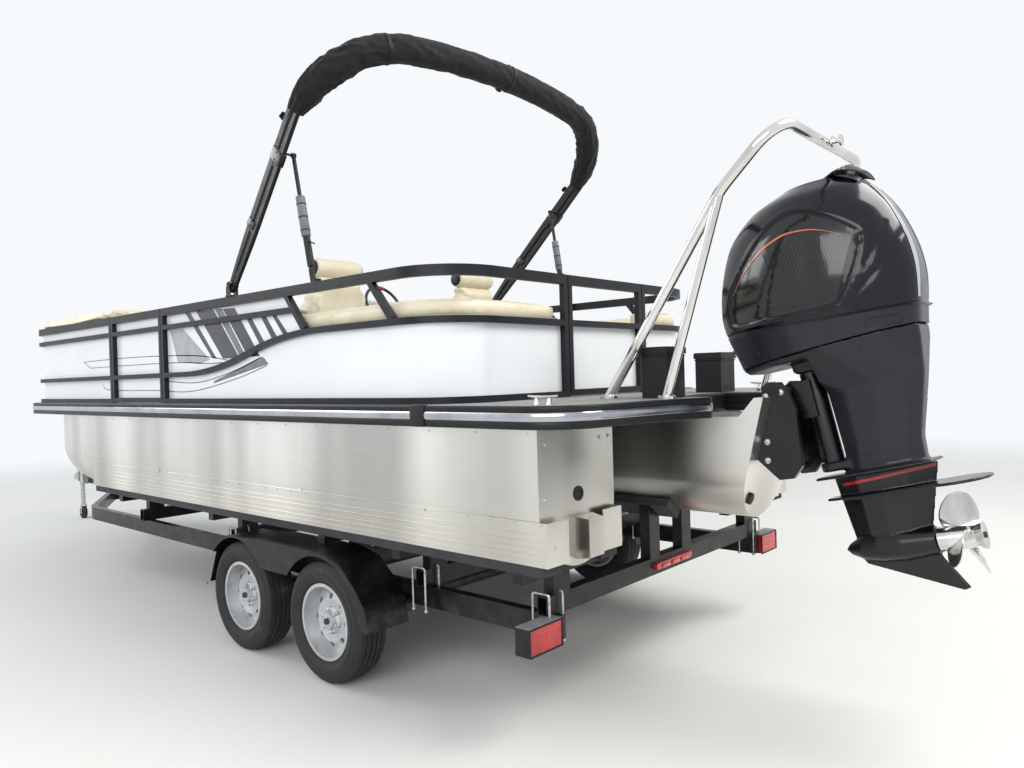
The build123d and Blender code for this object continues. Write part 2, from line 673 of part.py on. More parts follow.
# name, place in the band, rails (low, high), places of the stiles, place of the panel, its top, hinge
GATES = (
    ("side_gate", (side_aft, side_bow, SIDE_IN, HALF),
     (LOW_RAIL, THIRD_RAIL, SECOND_RAIL, TOP_RAIL),
     ((side_aft, side_aft + BAR, SIDE_IN, HALF), (side_bow - BAR, side_bow, SIDE_IN, HALF)),
     (side_aft, side_bow - LEAF_ROOM, 0, HALF), PANEL_HIGH, SIDE_HINGE),
    ("stern_gate", (0, BAR, stern_stbd, stern_port),
     (LOW_RAIL, AFT_RAIL, TOP_RAIL),
     ((0, BAR, stern_stbd, stern_stbd + BAR), (0, BAR, stern_port - BAR, stern_port)),
     (0, 2 * BAR, stern_stbd, stern_port - LEAF_ROOM), AFT_PANEL_Z, STERN_HINGE),
    ("bow_gate", (FENCE_LENGTH - BAR, FENCE_LENGTH, -bow_half, bow_half),
     (LOW_RAIL, THIRD_RAIL, SECOND_RAIL, TOP_RAIL),
     ((FENCE_LENGTH - BAR, FENCE_LENGTH, -bow_half, BAR - bow_half),
      (FENCE_LENGTH - BAR, FENCE_LENGTH, bow_half - BAR, bow_half)),
     (FENCE_LENGTH - 2 * BAR, FENCE_LENGTH, -bow_half, bow_half - LEAF_ROOM), PANEL_HIGH, BOW_HINGE),
)
for name, place, rails, stiles, skin_place, panel_top, pin in GATES:
    keep(name + "_frame", gate_frame(place, rails, stiles, pin))
    keep(name + "_panel", strip(SKIN, (skin_place,), GATE_LOW, panel_top))


# Lounges: moulded bases that follow the fence, seat cushions and backs

WALL = BAR + PANEL + WALL_GAP
ROOM = fence_area(WALL)
SHELL_RING = fence_area(WALL) - fence_area(WALL + SHELL)
PAD_RING = fence_area(WALL + SHELL + SEAT_GAP) - fence_area(WALL + SHELL + PAD)
ROLL_RING = fence_area(WALL) - fence_area(WALL + SHELL + PAD)
SEAT_AREA = fence_area(WALL + SHELL + PAD + SEAM)
SIDE = HALF + 10


def block(x, y, z, soft=0.0):
    """Box between two values on each axis, its upper edges rounded if it is soft."""
    with BuildPart(mode=Mode.PRIVATE) as solid:
        with BuildSketch(Plane.XY.offset(z[0])):
            with Locations(((x[0] + x[1]) / 2, (y[0] + y[1]) / 2)):
                Rectangle(abs(x[1] - x[0]), abs(y[1] - y[0]))
        extrude(amount=z[1] - z[0])
        if soft:
            fillet(solid.faces().sort_by(Axis.Z)[-1].edges(), soft)
    return solid.part


def soften(piece):
    """Round the upper edges of a cushion."""
    return piece.fillet(SOFT, piece.faces().sort_by(Axis.Z)[-1].edges())


bow_aft, bow_end = BOW_SEAT
end_pad = bow_aft + SHELL + PAD
# Places (x0, x1, y0, y1) on the port side: base, back along the fence, seat cushion
BOW_BASE = (bow_aft, bow_end, SEAT_IN, SIDE)
BOW_BACK = (bow_aft, bow_end, SEAT_IN, SIDE)
BOW_CUSHION = (end_pad + SEAM, bow_end - SEAM, SEAT_IN - 10, SIDE)


def other_side(place):
    """The same place on starboard."""
    x0, x1, y0, y1 = place
    return (x0, x1, -y1, -y0)


def bow_base(place, side):
    """Base of a bow lounge with its moulded back along the fence and across its aft end."""
    y = side * SEAT_IN, side * (HALF - WALL - SHELL / 2)
    with BuildPart(mode=Mode.PRIVATE) as base:
        add(strip(ROOM, (place,), DECK_TOP, BASE_TOP))
        add(strip(SHELL_RING, (place,), BASE_TOP, BOW_SHELL_Z))
        add(block((bow_aft, bow_aft + SHELL), y, (BASE_TOP, BOW_SHELL_Z)))
    return base.part


def bow_back(place, side):
    """Back cushion of a bow lounge, rolled over the moulded back."""
    y = side * SEAT_IN, side * (HALF - WALL - SHELL - PAD / 2)
    with BuildPart(mode=Mode.PRIVATE) as back:
        pad = (place[0] + SHELL + SEAT_GAP, *place[1:])
        add(strip(PAD_RING, (pad,), SEAT_TOP + SEAM, BOW_BACK_Z))
        add(strip(ROLL_RING, (place,), BOW_SHELL_Z + SEAT_GAP, BOW_BACK_Z))
        add(block((bow_aft + SHELL + SEAT_GAP, end_pad), y, (SEAT_TOP + SEAM, BOW_BACK_Z)))
        add(block((bow_aft, end_pad), y, (BOW_SHELL_Z + SEAT_GAP, BOW_BACK_Z)))
    return back.part


def arm(x, side):
    """Arched arm at the forward end of an aft lounge."""
    y = side * SEAT_IN, side * (HALF - WALL - SHELL / 2)
    with BuildPart(mode=Mode.PRIVATE) as solid:
        add(block((x - 45, x), y, (BASE_TOP, ARM_Z)))
        inner = solid.edges().filter_by(Axis.X).group_by(Axis.Z)[-1].sort_by(lambda e: abs(e.center().Y))[0]
        fillet(inner, 110)
    return solid.part


stern_in = WALL
AFT_BASE_PORT = ((stern_in, AFT_SEAT_PORT, SEAT_IN, SIDE), (stern_in, CORNER_SEAT_X, CORNER_SEAT_Y, SEAT_IN))
AFT_BACK_PORT = ((0, AFT_SEAT_PORT, CORNER_SEAT_Y, SIDE),)
AFT_CUSHION_PORT = ((0, AFT_SEAT_PORT - 45 - SEAM, SEAT_IN, SIDE),
                    (0, CORNER_SEAT_X, CORNER_SEAT_Y, SEAT_IN + 1))
AFT_BASE_STBD = ((stern_in, AFT_SEAT_STBD, -SIDE, -SEAT_IN - 40),)
AFT_CUSHION_STBD = ((0, AFT_SEAT_STBD - 45 - SEAM, -SIDE, -SEAT_IN - 40),)

with BuildPart() as bow_lounge_bases:
    add(bow_base(BOW_BASE, 1))
    add(bow_base(other_side(BOW_BASE), -1))
keep("bow_lounge_bases", bow_lounge_bases.part)

with BuildPart() as bow_lounge_cushions:
    for side, place, seat in ((1, BOW_BACK, BOW_CUSHION),
                              (-1, other_side(BOW_BACK), other_side(BOW_CUSHION))):
        add(bow_back(place, side))
        add(soften(strip(SEAT_AREA, (seat,), BASE_TOP + SEAT_GAP, SEAT_TOP)))
keep("bow_lounge_cushions", bow_lounge_cushions.part)

with BuildPart() as aft_lounge_bases:
    add(strip(ROOM, AFT_BASE_PORT, DECK_TOP, BASE_TOP))
    add(strip(SHELL_RING, AFT_BACK_PORT, BASE_TOP, AFT_SHELL_Z))
    add(arm(AFT_SEAT_PORT, 1))
    add(strip(ROOM, AFT_BASE_STBD, DECK_TOP, BASE_TOP))
    add(strip(SHELL_RING, AFT_BASE_STBD, BASE_TOP, AFT_SHELL_Z))
    add(arm(AFT_SEAT_STBD, -1))
keep("aft_lounge_bases", aft_lounge_bases.part)

with BuildPart() as aft_lounge_cushions:
    for seat, back, end in ((AFT_CUSHION_PORT, AFT_BACK_PORT, AFT_SEAT_PORT),
                            (AFT_CUSHION_STBD, AFT_BASE_STBD, AFT_SEAT_STBD)):
        reach = [(x0, min(x1, end - 45 - SEAM), y0, y1) for x0, x1, y0, y1 in back]
        add(soften(strip(SEAT_AREA, seat, BASE_TOP + SEAT_GAP, SEAT_TOP)))
        add(strip(PAD_RING, reach, SEAT_TOP + SEAM, AFT_BACK_Z))
        add(strip(ROLL_RING, reach, AFT_SHELL_Z + SEAT_GAP, AFT_BACK_Z))
keep("aft_lounge_cushions", aft_lounge_cushions.part)


# Helm console, steering wheel and the two swivel chairs

STEER_PLANE = Plane(origin=(HELM_X, CONSOLE_Y, HELM_Z), x_dir=(0, 1, 0),
                    z_dir=(cos(radians(HELM_RAKE)), 0, -sin(radians(HELM_RAKE))))

with BuildPart() as helm_console:
    with BuildSketch(Plane(origin=(0, CONSOLE_Y, 0), x_dir=(1, 0, 0), z_dir=(0, -1, 0))) as side_view:
        with BuildLine():
            Polyline((CONSOLE_AFT, DECK_TOP), (CONSOLE_AFT, 2080), (CONSOLE_AFT - 40, 2120),
                     (CONSOLE_AFT + 50, CONSOLE_TOP - 30), (CONSOLE_AFT + 110, CONSOLE_TOP),
                     (CONSOLE_BOW - 110, CONSOLE_TOP - 40), (CONSOLE_BOW, 2150), (CONSOLE_BOW, DECK_TOP),
                     close=True)
        make_face()
        fillet(side_view.vertices().group_by(Axis.Y)[-1], 40)
    extrude(amount=CONSOLE_HALF, both=True)
    fillet(helm_console.edges().filter_by(GeomType.LINE).filter_by(Axis.Z).sort_by(Axis.X)[-2:], 60)
    with Locations(STEER_PLANE.offset(95)):
        Cylinder(32, 110)
    with Locations(STEER_PLANE.offset(40)):
        Cylinder(HELM_PIN, 60)
keep("helm_console", helm_console.part)

with BuildPart(STEER_PLANE) as steering_wheel:
    Torus(HELM_R, 13)
    with Locations((0, 0, 17)):
        Cylinder(34, 44)
    for angle in (90, 210, 330):
        with BuildSketch(STEER_PLANE.offset(8)):
            with PolarLocations(HELM_R / 2 + 10, 1, start_angle=angle):
                Rectangle(HELM_R - 30, 24)
        extrude(amount=8)
    with Locations((0, 0, 40)):
        Cylinder(HELM_PIN + SEAT_GAP, 60, mode=Mode.SUBTRACT)
keep("steering_wheel", steering_wheel.part)

with BuildPart() as chair_pedestals:
    for name, x, y in CHAIRS:
        with Locations((x, y, DECK_TOP)):
            Cylinder(150, 14, align=(Align.CENTER, Align.CENTER, Align.MIN))
            Cone(80, 42, 60, align=(Align.CENTER, Align.CENTER, Align.MIN))
            Cylinder(40, PEDESTAL_TOP - DECK_TOP, align=(Align.CENTER, Align.CENTER, Align.MIN))
        with Locations((x, y, PEDESTAL_TOP)):
            Cylinder(CHAIR_PIN, 30, align=(Align.CENTER, Align.CENTER, Align.MIN))
keep("chair_pedestals", chair_pedestals.part)


def chair(x, y):
    """Swivel chair facing the bow: seat plate, seat, leaning back, two arms and a bolster."""
    low = PEDESTAL_TOP + SEAT_GAP
    with BuildPart(mode=Mode.PRIVATE) as solid:
        with Locations((x, y, low)):
            Cylinder(120, 16, align=(Align.CENTER, Align.CENTER, Align.MIN))
        # Seat and back in one side view
        with BuildSketch(Plane(origin=(x, y, 0), x_dir=(1, 0, 0), z_dir=(0, -1, 0))) as side_view:
            with BuildLine():
                Polyline((-225, low + 16), (240, low + 16), (262, 1965), (-150, 1950),
                         (-205, CHAIR_TOP - 130), (-205, CHAIR_TOP - 20), (-300, CHAIR_TOP - 20),
                         (-330, CHAIR_TOP - 100), (-285, 1990), close=True)
            make_face()
            fillet(side_view.vertices().sort_by(Axis.X)[-2:], 35)
        extrude(amount=CHAIR_HALF, both=True)
        # Bolster across the top of the back
        with Locations(Plane(origin=(x - 255, y, CHAIR_TOP - 65), z_dir=(0, 1, 0))):
            Cylinder(65, 2 * CHAIR_HALF - 40)
        for side in (1, -1):
            add(block((x - 255, x + 140), (y + side * (CHAIR_HALF - 5), y + side * (CHAIR_HALF + 60)),
                      (2080, 2130), 12))
            add(block((x - 60, x + 40), (y + side * (CHAIR_HALF - 5), y + side * (CHAIR_HALF + 30)),
                      (1930, 2085)))
        with Locations((x, y, PEDESTAL_TOP)):
            Cylinder(CHAIR_PIN + SEAT_GAP, 40, align=(Align.CENTER, Align.CENTER, Align.MIN),
                     mode=Mode.SUBTRACT)
    return solid.part


for name, x, y in CHAIRS:
    keep(name, chair(x, y))


# Tow arch: one bent tube over the motor, a straight leg on each side and four foot plates

def rod(start, end, radius):
    """Round bar between two points."""
    line = Vector(*end) - Vector(*start)
    with BuildPart(Plane(origin=start, z_dir=line), mode=Mode.PRIVATE) as bar:
        Cylinder(radius, line.length, align=(Align.CENTER, Align.CENTER, Align.MIN))
    return bar.part


FOOT_PLATE = 8.0
foot_top = DECK_TOP + FOOT_PLATE
knee_x, knee_z = ARCH_KNEE
arch_top_x, arch_top_z = ARCH_TOP
with BuildPart() as tow_arch:
    with BuildLine() as route:
        FilletPolyline((ARCH_FRONT, ARCH_HALF, foot_top), (knee_x, ARCH_HALF, knee_z),
                       (arch_top_x, ARCH_HALF, arch_top_z), (arch_top_x, -ARCH_HALF, arch_top_z),
                       (knee_x, -ARCH_HALF, knee_z), (ARCH_FRONT, -ARCH_HALF, foot_top),
                       radius=(500, 150, 150, 500))
    with BuildSketch(Plane(origin=route.line @ 0, z_dir=route.line % 0)):
        Circle(ARCH_TUBE)
    sweep()
    for side in (1, -1):
        add(rod((ARCH_REAR, side * ARCH_HALF, foot_top), (knee_x, side * ARCH_HALF, knee_z), ARCH_TUBE * 0.9))
        with Locations((ARCH_FRONT, side * ARCH_HALF, DECK_TOP), (ARCH_REAR, side * ARCH_HALF, DECK_TOP)):
            Cylinder(ARCH_FOOT, FOOT_PLATE + 6, align=(Align.CENTER, Align.CENTER, Align.MIN))
    # Both legs are cut off level with the deck
    add(block((ARCH_REAR - 200, ARCH_FRONT + 200), (-ARCH_HALF - 200, ARCH_HALF + 200),
              (DECK_TOP - 60, DECK_TOP)), mode=Mode.SUBTRACT)
    # Tow pin with its two discs, astern of the middle of the top tube
    for radius, start, long in ((11, 0, 74), (27, 30, 8), (27, 68, 8)):
        with Locations(Plane(origin=(arch_top_x - start, 0, arch_top_z), z_dir=(-1, 0, 0))):
            Cylinder(radius, long, align=(Align.CENTER, Align.CENTER, Align.MIN))
keep("tow_arch", tow_arch.part)

LID = 34.0
with BuildPart() as stern_boxes:
    for x, y, top in (BOX_PORT, BOX_STBD):
        add(block(x, y, (DECK_TOP, top - LID)))
        add(block((x[0] - 7, x[1] + 7), (y[0] - 7, y[1] + 7), (top - LID, top), 8))
keep("stern_boxes", stern_boxes.part)


# Outboard motor

TRIM_RAD = radians(TRIM)
U_DIR = Vector(cos(TRIM_RAD), 0, -sin(TRIM_RAD))
W_DIR = Vector(sin(TRIM_RAD), 0, cos(TRIM_RAD))
TILT_PIVOT = Vector(TILT_X, 0, TILT_Z)
MOTOR = Plane(origin=TILT_PIVOT, x_dir=U_DIR, z_dir=(0, -1, 0))


def level(w, u=0.0):
    """Plane square to the motor's leg at height w, its X forward and its Y to port."""
    return Plane(origin=TILT_PIVOT + W_DIR * w + U_DIR * u, x_dir=U_DIR, z_dir=W_DIR)


def motor_plate(points, half, corner=0.0):
    """Plate in the motor's side plane, reaching half to both sides."""
    with BuildPart(mode=Mode.PRIVATE) as plate:
        with BuildSketch(MOTOR) as side_view:
            with BuildLine():
                Polyline(*points, close=True)
            make_face()
            if corner:
                fillet(side_view.vertices(), corner)
        extrude(amount=half, both=True)
    return plate.part


# Clamp bracket: two plates hooked over the transom, the tilt tube and the trim cylinder
face_lean = (POD_KNEE_X - POD_TOP_X) / (POD_TOP - POD_KNEE_Z)


def transom_x(z):
    """Where the clamp plates meet the sloping transom."""
    return POD_TOP_X + face_lean * (POD_TOP - z) - SEAT_GAP


with BuildPart() as clamp_bracket:
    hook = POD_TOP + SEAT_GAP
    for side in (1, -1):
        near = side * CLAMP_IN
        with BuildSketch(Plane(origin=(0, near, 0), x_dir=(1, 0, 0), z_dir=(0, -1, 0))):
            with BuildLine():
                Polyline((transom_x(POD_TOP), hook), (POD_TOP_X + POD_PLATE, hook), (-1056, 1540),
                         (-1084, 1568), (-1146, 1568), (-1186, 1520), (-1222, 1430), (-1246, 1173),
                         (-1205, 1112), (-1136, 1100), (transom_x(1190), 1190), close=True)
            make_face()
        extrude(amount=CLAMP_PLATE, dir=(0, side, 0))
    with Locations(Plane(origin=TILT_PIVOT, z_dir=(0, 1, 0))):
        Cylinder(TILT_PIN, 2 * (CLAMP_IN + CLAMP_PLATE) + 24)
    add(rod((-1150, -CLAMP_IN, 1142), (-1150, CLAMP_IN, 1142), 18))
    low, high = level(-365, 70).origin, level(-150, 22).origin
    add(rod(tuple(low), tuple(high), 24))
    add(rod(tuple(low), tuple(level(-110, 13).origin), 10))
keep("clamp_bracket", clamp_bracket.part)

# Swivel bracket: tilts on the tube and carries the steering shaft
with BuildPart() as swivel_bracket:
    with Locations(Plane(origin=TILT_PIVOT, z_dir=(0, 1, 0))):
        Cylinder(TILT_BOSS, 2 * (CLAMP_IN - MOTOR_GAP))
    with Locations(level(SWIVEL_LOW, STEER_U)):
        Cylinder(SWIVEL_R, SWIVEL_HIGH - SWIVEL_LOW, align=(Align.CENTER, Align.CENTER, Align.MIN))
    add(motor_plate(((-130, 28), (0, 28), (0, -28), (-66, -150), (-130, -150)), 75))
    with Locations(Plane(origin=TILT_PIVOT, z_dir=(0, 1, 0))):
        Cylinder(TILT_PIN + SEAT_GAP, 2 * CLAMP_IN, mode=Mode.SUBTRACT)
    with Locations(level(SWIVEL_LOW - 10, STEER_U)):
        Cylinder(STEER_SHAFT + SEAT_GAP, SWIVEL_HIGH - SWIVEL_LOW + 20,
                 align=(Align.CENTER, Align.CENTER, Align.MIN), mode=Mode.SUBTRACT)
keep("swivel_bracket", swivel_bracket.part)


def shell_section(w, front, back, half, inset=0.0):
    """Section of the cowl or leg: a narrow flat front, swelling sides and a round back."""
    tip = half * 0.42 - inset * 0.4
    front, back, half = front - inset, back + inset, half - inset
    swell = back + 0.42 * (front - back)
    shoulder = front - 0.22 * (front - back)
    turn = back + 0.12 * (front - back)
    with BuildSketch(level(w)) as section:
        with BuildLine():
            Line((front, -tip), (front, tip))
            ThreePointArc((front, tip), (shoulder, half * 0.86), (swell, half))
            ThreePointArc((swell, half), (turn + 0.1 * (swell - turn), half * 0.82), (back, half * 0.36))
            Line((back, half * 0.36), (back, -half * 0.36))
            ThreePointArc((back, -half * 0.36), (turn + 0.1 * (swell - turn), -half * 0.82), (swell, -half))
            ThreePointArc((swell, -half), (shoulder, -half * 0.86), (front, -tip))
        make_face()
    return section.sketch


# Cowl sections from the seam up: height, front, back, half width
COWL_SECTIONS = (
    (SEAM_W, COWL_FRONT - 5, -655.0, 245.0),
    (420.0, COWL_FRONT + 12, COWL_BACK, 285.0),
    (700.0, 60.0, -682.0, 265.0),
    (850.0, -120.0, -635.0, 205.0),
    (925.0, -290.0, -560.0, 120.0),
)


def cowl_form(inset):
    """Solid inside the cowl's outer face moved in by inset; it stays open below."""
    with BuildPart(mode=Mode.PRIVATE) as form:
        for w, front, back, half in COWL_SECTIONS:
            lower = inset if w > SEAM_W else 0.0
            add(shell_section(w - lower, front, back, half, inset))
        loft()
    return form.part


with BuildPart() as cowl:
    add(cowl_form(0.0))
    # Air intake at the back of the top
    add(motor_plate(((-300, 900), (-330, 945), (-470, 940), (-590, 905), (-640, 800), (-600, 780)), 95, 12))
    add(cowl_form(COWL_WALL), mode=Mode.SUBTRACT)
keep("cowl", cowl.part)

with BuildPart() as engine_block:
    add(motor_plate(((20, SEAM_W), (20, 560), (-60, 680), (-520, 680), (-520, SEAM_W)), 150))
keep("engine_block", engine_block.part)


def leg_section(w, front, back, half):
    """Faceted section of the leg: narrow in front, widest in the middle."""
    length = front - back
    side = [(front, 0.42 * half), (front - 0.22 * length, 0.86 * half), (front - 0.55 * length, half),
            (back + 0.16 * length, 0.84 * half), (back, 0.4 * half)]
    with BuildSketch(level(w)) as section:
        with BuildLine():
            Polyline(*side, *[(u, -v) for u, v in reversed(side)], close=True)
        make_face()
    return section.sketch


# Leg sections from the seam down: height, front, back, half width
LEG_SECTIONS = (
    (SEAM_W, COWL_FRONT - 5, -655.0, 240.0),
    (95.0, 120.0, -650.0, 215.0),
    (-60.0, LEG_FRONT, -615.0, 118.0),
    (-330.0, LEG_FRONT, -530.0, 92.0),
    (LEG_LOW, LEG_FRONT + 20, -520.0, 88.0),
)
with BuildPart() as midsection:
    for w, front, back, half in LEG_SECTIONS:
        add(leg_section(w, front, back, half))
    loft(ruled=True)
    # Room for the swivel bracket and its clamp plates under the tray
    add(motor_plate(((300, 118), (STEER_U + 60, 118), (STEER_U + 60, 70), (LEG_FRONT, 70),
                     (LEG_FRONT, -380), (300, -380)), 400), mode=Mode.SUBTRACT)
    # Beside the yokes the tray clears the clamp plates at full tilt and lock
    beside = ((STEER_U + 60, 118), (LEG_FRONT, 118), (LEG_FRONT, 70), (STEER_U + 60, 70))
    add(motor_plate(beside, 400) - motor_plate(beside, 66), mode=Mode.SUBTRACT)
    # Upper and lower yoke, joined by the steering shaft
    for low, high in ((SWIVEL_HIGH + SEAT_GAP + 2, SWIVEL_HIGH + YOKE), (SWIVEL_LOW - YOKE, SWIVEL_LOW - 2)):
        with BuildSketch(level(low)):
            with Locations((STEER_U, 0)):
                Circle(62)
            with Locations((STEER_U / 2 + LEG_FRONT / 2 - 10, 0)):
                Rectangle(STEER_U - LEG_FRONT + 20, 124)
        extrude(amount=high - low)
    with Locations(level(SWIVEL_LOW - YOKE, STEER_U)):
        Cylinder(STEER_SHAFT, SWIVEL_HIGH - SWIVEL_LOW + 2 * YOKE,
                 align=(Align.CENTER, Align.CENTER, Align.MIN))
    # Plate under the leg that throws the spray down
    with BuildSketch(level(LEG_LOW)):
        with BuildLine():
            Line((-35, -75), (-35, 75))
            ThreePointArc((-35, 75), (-300, 135), (-560, 105))
            Line((-560, 105), (-560, -105))
            ThreePointArc((-560, -105), (-300, -135), (-35, -75))
        make_face()
    extrude(amount=14)
keep("midsection", midsection.part)


def blade_section(w, front, back, half):
    """Pointed section of the gearcase at one height."""
    with BuildSketch(level(w)) as section:
        with BuildLine():
            widest = (front + back) / 2
            ahead, astern = (front + widest) / 2, (back + widest) / 2
            Polyline((front, 0), (ahead, half * 0.8), (widest, half), (astern, half * 0.72), (back, 0),
                     (astern, -half * 0.72), (widest, -half), (ahead, -half * 0.8), close=True)
        make_face()
    return section.sketch


with BuildPart() as gearcase:
    # Strut from the leg down to the bullet
    for w, front, back, half in ((LEG_LOW, -100.0, -560.0, 68.0), (PROP_W + 20, -130.0, -455.0, 55.0)):
        add(blade_section(w, front, back, half))
    loft(ruled=True)
    # Plate over the propeller
    with BuildSketch(level(PLATE_W)):
        with BuildLine():
            Line((-60, -45), (-60, 45))
            ThreePointArc((-60, 45), (-300, 118), (-560, 135))
            ThreePointArc((-560, 135), (-700, 115), (-745, 0))
            ThreePointArc((-745, 0), (-700, -115), (-560, -135))
            ThreePointArc((-560, -135), (-300, -118), (-60, -45))
        make_face()
    extrude(amount=13)
    # Bullet with its pointed nose
    with BuildSketch(MOTOR):
        with BuildLine():
            bullet = ((-70, 0.0), (HUB_FRONT + 6, 0.0), (HUB_FRONT + 6, HUB_R + 6), (-330, TORPEDO_R),
                      (-230, TORPEDO_R - 4), (-150, 54.0), (-95, 26.0))
            Polyline(*[(u, PROP_W + radius) for u, radius in bullet], close=True)
        make_face()
    revolve(axis=Axis(tuple(level(PROP_W).origin), tuple(U_DIR)))
    # Skeg
    add(motor_plate(((-110, PROP_W), (-150, -860), (-520, -1009), (-548, -1000), (-472, -860),
                     (-460, PROP_W)), 8))
    with Locations(Plane(origin=level(PROP_W, HUB_FRONT + 20).origin, z_dir=-U_DIR)):
        Cylinder(SHAFT_R, HUB_FRONT + 20 - HUB_BACK + 8, align=(Align.CENTER, Align.CENTER, Align.MIN))
keep("gearcase", gearcase.part)

# Blade sections: radius, chord, thickness, pitch angle, place of its middle along the hub
BLADE_SECTIONS = (
    (HUB_R - 8, 120.0, 12.0, 56.0, -560.0),
    (0.62 * PROP_RADIUS, 190.0, 7.0, 33.0, -575.0),
    (0.93 * PROP_RADIUS, 120.0, 4.0, 25.0, -590.0),
    (PROP_RADIUS, 40.0, 3.0, 23.0, -598.0),
)


def blade():
    """One raked, twisted blade that points up the leg."""
    with BuildPart(mode=Mode.PRIVATE) as solid:
        for radius, chord, thick, pitch, place in BLADE_SECTIONS:
            with BuildSketch(level(PROP_W + radius)):
                with Locations((place, 0)):
                    Rectangle(chord, thick, rotation=90 - pitch)
        loft()
    return solid.part


PROP_AXIS = Axis(tuple(level(PROP_W).origin), tuple(U_DIR))
with BuildPart() as propeller:
    with BuildSketch(MOTOR):
        with BuildLine():
            Polyline((HUB_FRONT, PROP_W), (HUB_FRONT, PROP_W + HUB_R), (HUB_BACK + 30, PROP_W + HUB_R - 6),
                     (HUB_BACK, PROP_W + HUB_R + 4), (HUB_BACK, PROP_W), close=True)
        make_face()
    revolve(axis=PROP_AXIS)
    single = blade()
    for angle in (20, 140, 260):
        add(single.rotate(PROP_AXIS, angle))
    with Locations(Plane(origin=level(PROP_W, HUB_FRONT + 20).origin, z_dir=-U_DIR)):
        Cylinder(SHAFT_R + SEAT_GAP, HUB_FRONT + 40 - HUB_BACK, align=(Align.CENTER, Align.CENTER, Align.MIN),
                 mode=Mode.SUBTRACT)
keep("propeller", propeller.part)


# Bimini top: two nested bows that lean aft on the top rail, their boot and the two braces

LEAN = radians(BOW_LEAN)
PIVOT_Z = TOP_Z + BOW_PIVOT
# Plane of the bows: X to port, Y up along the lean
BOWS = Plane(origin=(BOW_FOOT_X, 0, PIVOT_Z), x_dir=(0, 1, 0), z_dir=(cos(LEAN), 0, sin(LEAN)))


def bow_route(start):
    """Line of a bow from one leg over the top to the other leg; start is where the legs begin."""
    wide, rise = BOW_SHOULDER
    foot = BOW_FOOT_HALF + (wide - BOW_FOOT_HALF) * start / rise
    return FilletPolyline((foot, start), (wide, rise), (0, BOW_CROWN), (-wide, rise), (-foot, start),
                          radius=(600, 5500, 600))


def leg_half(rise):
    """Half width of the legs' centre line at a distance along the lean."""
    return BOW_FOOT_HALF + (BOW_SHOULDER[0] - BOW_FOOT_HALF) * rise / BOW_SHOULDER[1]


def bow_sweep(aside, radius, start):
    """Round tube along the bows' route, moved off their plane."""
    plane = BOWS.offset(aside)
    with BuildPart(mode=Mode.PRIVATE) as tube:
        with BuildLine(plane) as route:
            bow_route(start)
        with BuildSketch(Plane(origin=route.line @ 0, z_dir=route.line % 0)):
            Circle(radius)
        sweep()
    return tube.part


def bow_point(rise, y):
    """Point in the bows' plane, at a distance along the lean."""
    return (BOW_FOOT_X - rise * sin(LEAN), y, PIVOT_Z + rise * cos(LEAN))


HEEL_R = 18.0
BOW_STACK = BOW_PITCH + 2 * BOW_TUBE + 4
with BuildPart() as bimini_bows:
    for aside in (BOW_PITCH / 2, -BOW_PITCH / 2):
        add(bow_sweep(aside, BOW_TUBE, 42.0))
    for side in (1, -1):
        # Flat heel with a round end on the pivot, and ties between the bows
        for rise, reach, thick in ((22.0, 22.0, 2 * HEEL_R), (62.0, 22.0, BOW_STACK),
                                   (480.0, 24.0, BOW_STACK), (940.0, 24.0, BOW_STACK)):
            with Locations(Plane(origin=bow_point(rise, side * leg_half(rise)), x_dir=(0, 1, 0),
                                 z_dir=BOWS.z_dir)):
                Box(22, 2 * reach, thick)
        with Locations(Plane(origin=bow_point(0, side * BOW_FOOT_HALF), z_dir=(0, 1, 0))):
            Cylinder(HEEL_R, 22)
        with Locations(Plane(origin=bow_point(0, side * BOW_FOOT_HALF), z_dir=(0, 1, 0))):
            Cylinder(BOW_PIN + SEAT_GAP, 40, mode=Mode.SUBTRACT)
        add(rod(bow_point(BRACE_TOP_RISE, side * leg_half(BRACE_TOP_RISE)),
                bow_point(BRACE_TOP_RISE, side * (BRACE_TOP_Y - 10)), 7))
        with Locations(Plane(origin=bow_point(BRACE_TOP_RISE, side * leg_half(BRACE_TOP_RISE)),
                             x_dir=(0, 1, 0), z_dir=BOWS.z_dir)):
            Box(30, 40, BOW_STACK)
keep("bimini_bows", bimini_bows.part)

with BuildPart() as bimini_boot:
    add(bow_sweep(0.0, BOOT_RADIUS, 200.0))
    add(bow_sweep(0.0, BOOT_INNER, 200.0), mode=Mode.SUBTRACT)
    with Locations(BOWS.offset(0)):
        Box(4000, 2 * BOOT_START, 500, mode=Mode.SUBTRACT)
keep("bimini_boot", bimini_boot.part)

with BuildPart() as bimini_braces:
    for side in (1, -1):
        x, y, z = BRACE_FOOT
        top = bow_point(BRACE_TOP_RISE, side * BRACE_TOP_Y)
        foot = (x, side * y, z)
        add(rod(foot, top, BRACE_TUBE))
        along = Vector(*top) - Vector(*foot)
        sleeve = Vector(*foot) + along * 0.12
        add(rod(tuple(sleeve), tuple(sleeve + along * 0.32), BRACE_TUBE + 9))
        for eye, radius in ((foot, BRACE_EYE), (top, BRACE_EYE)):
            with Locations(Plane(origin=eye, z_dir=(0, 1, 0))):
                Cylinder(radius, 2 * BRACE_TUBE)
        with Locations(Plane(origin=top, z_dir=(0, 1, 0))):
            Cylinder(7 + SEAT_GAP, 4 * BRACE_TUBE, mode=Mode.SUBTRACT)
keep("bimini_braces", bimini_braces.part)

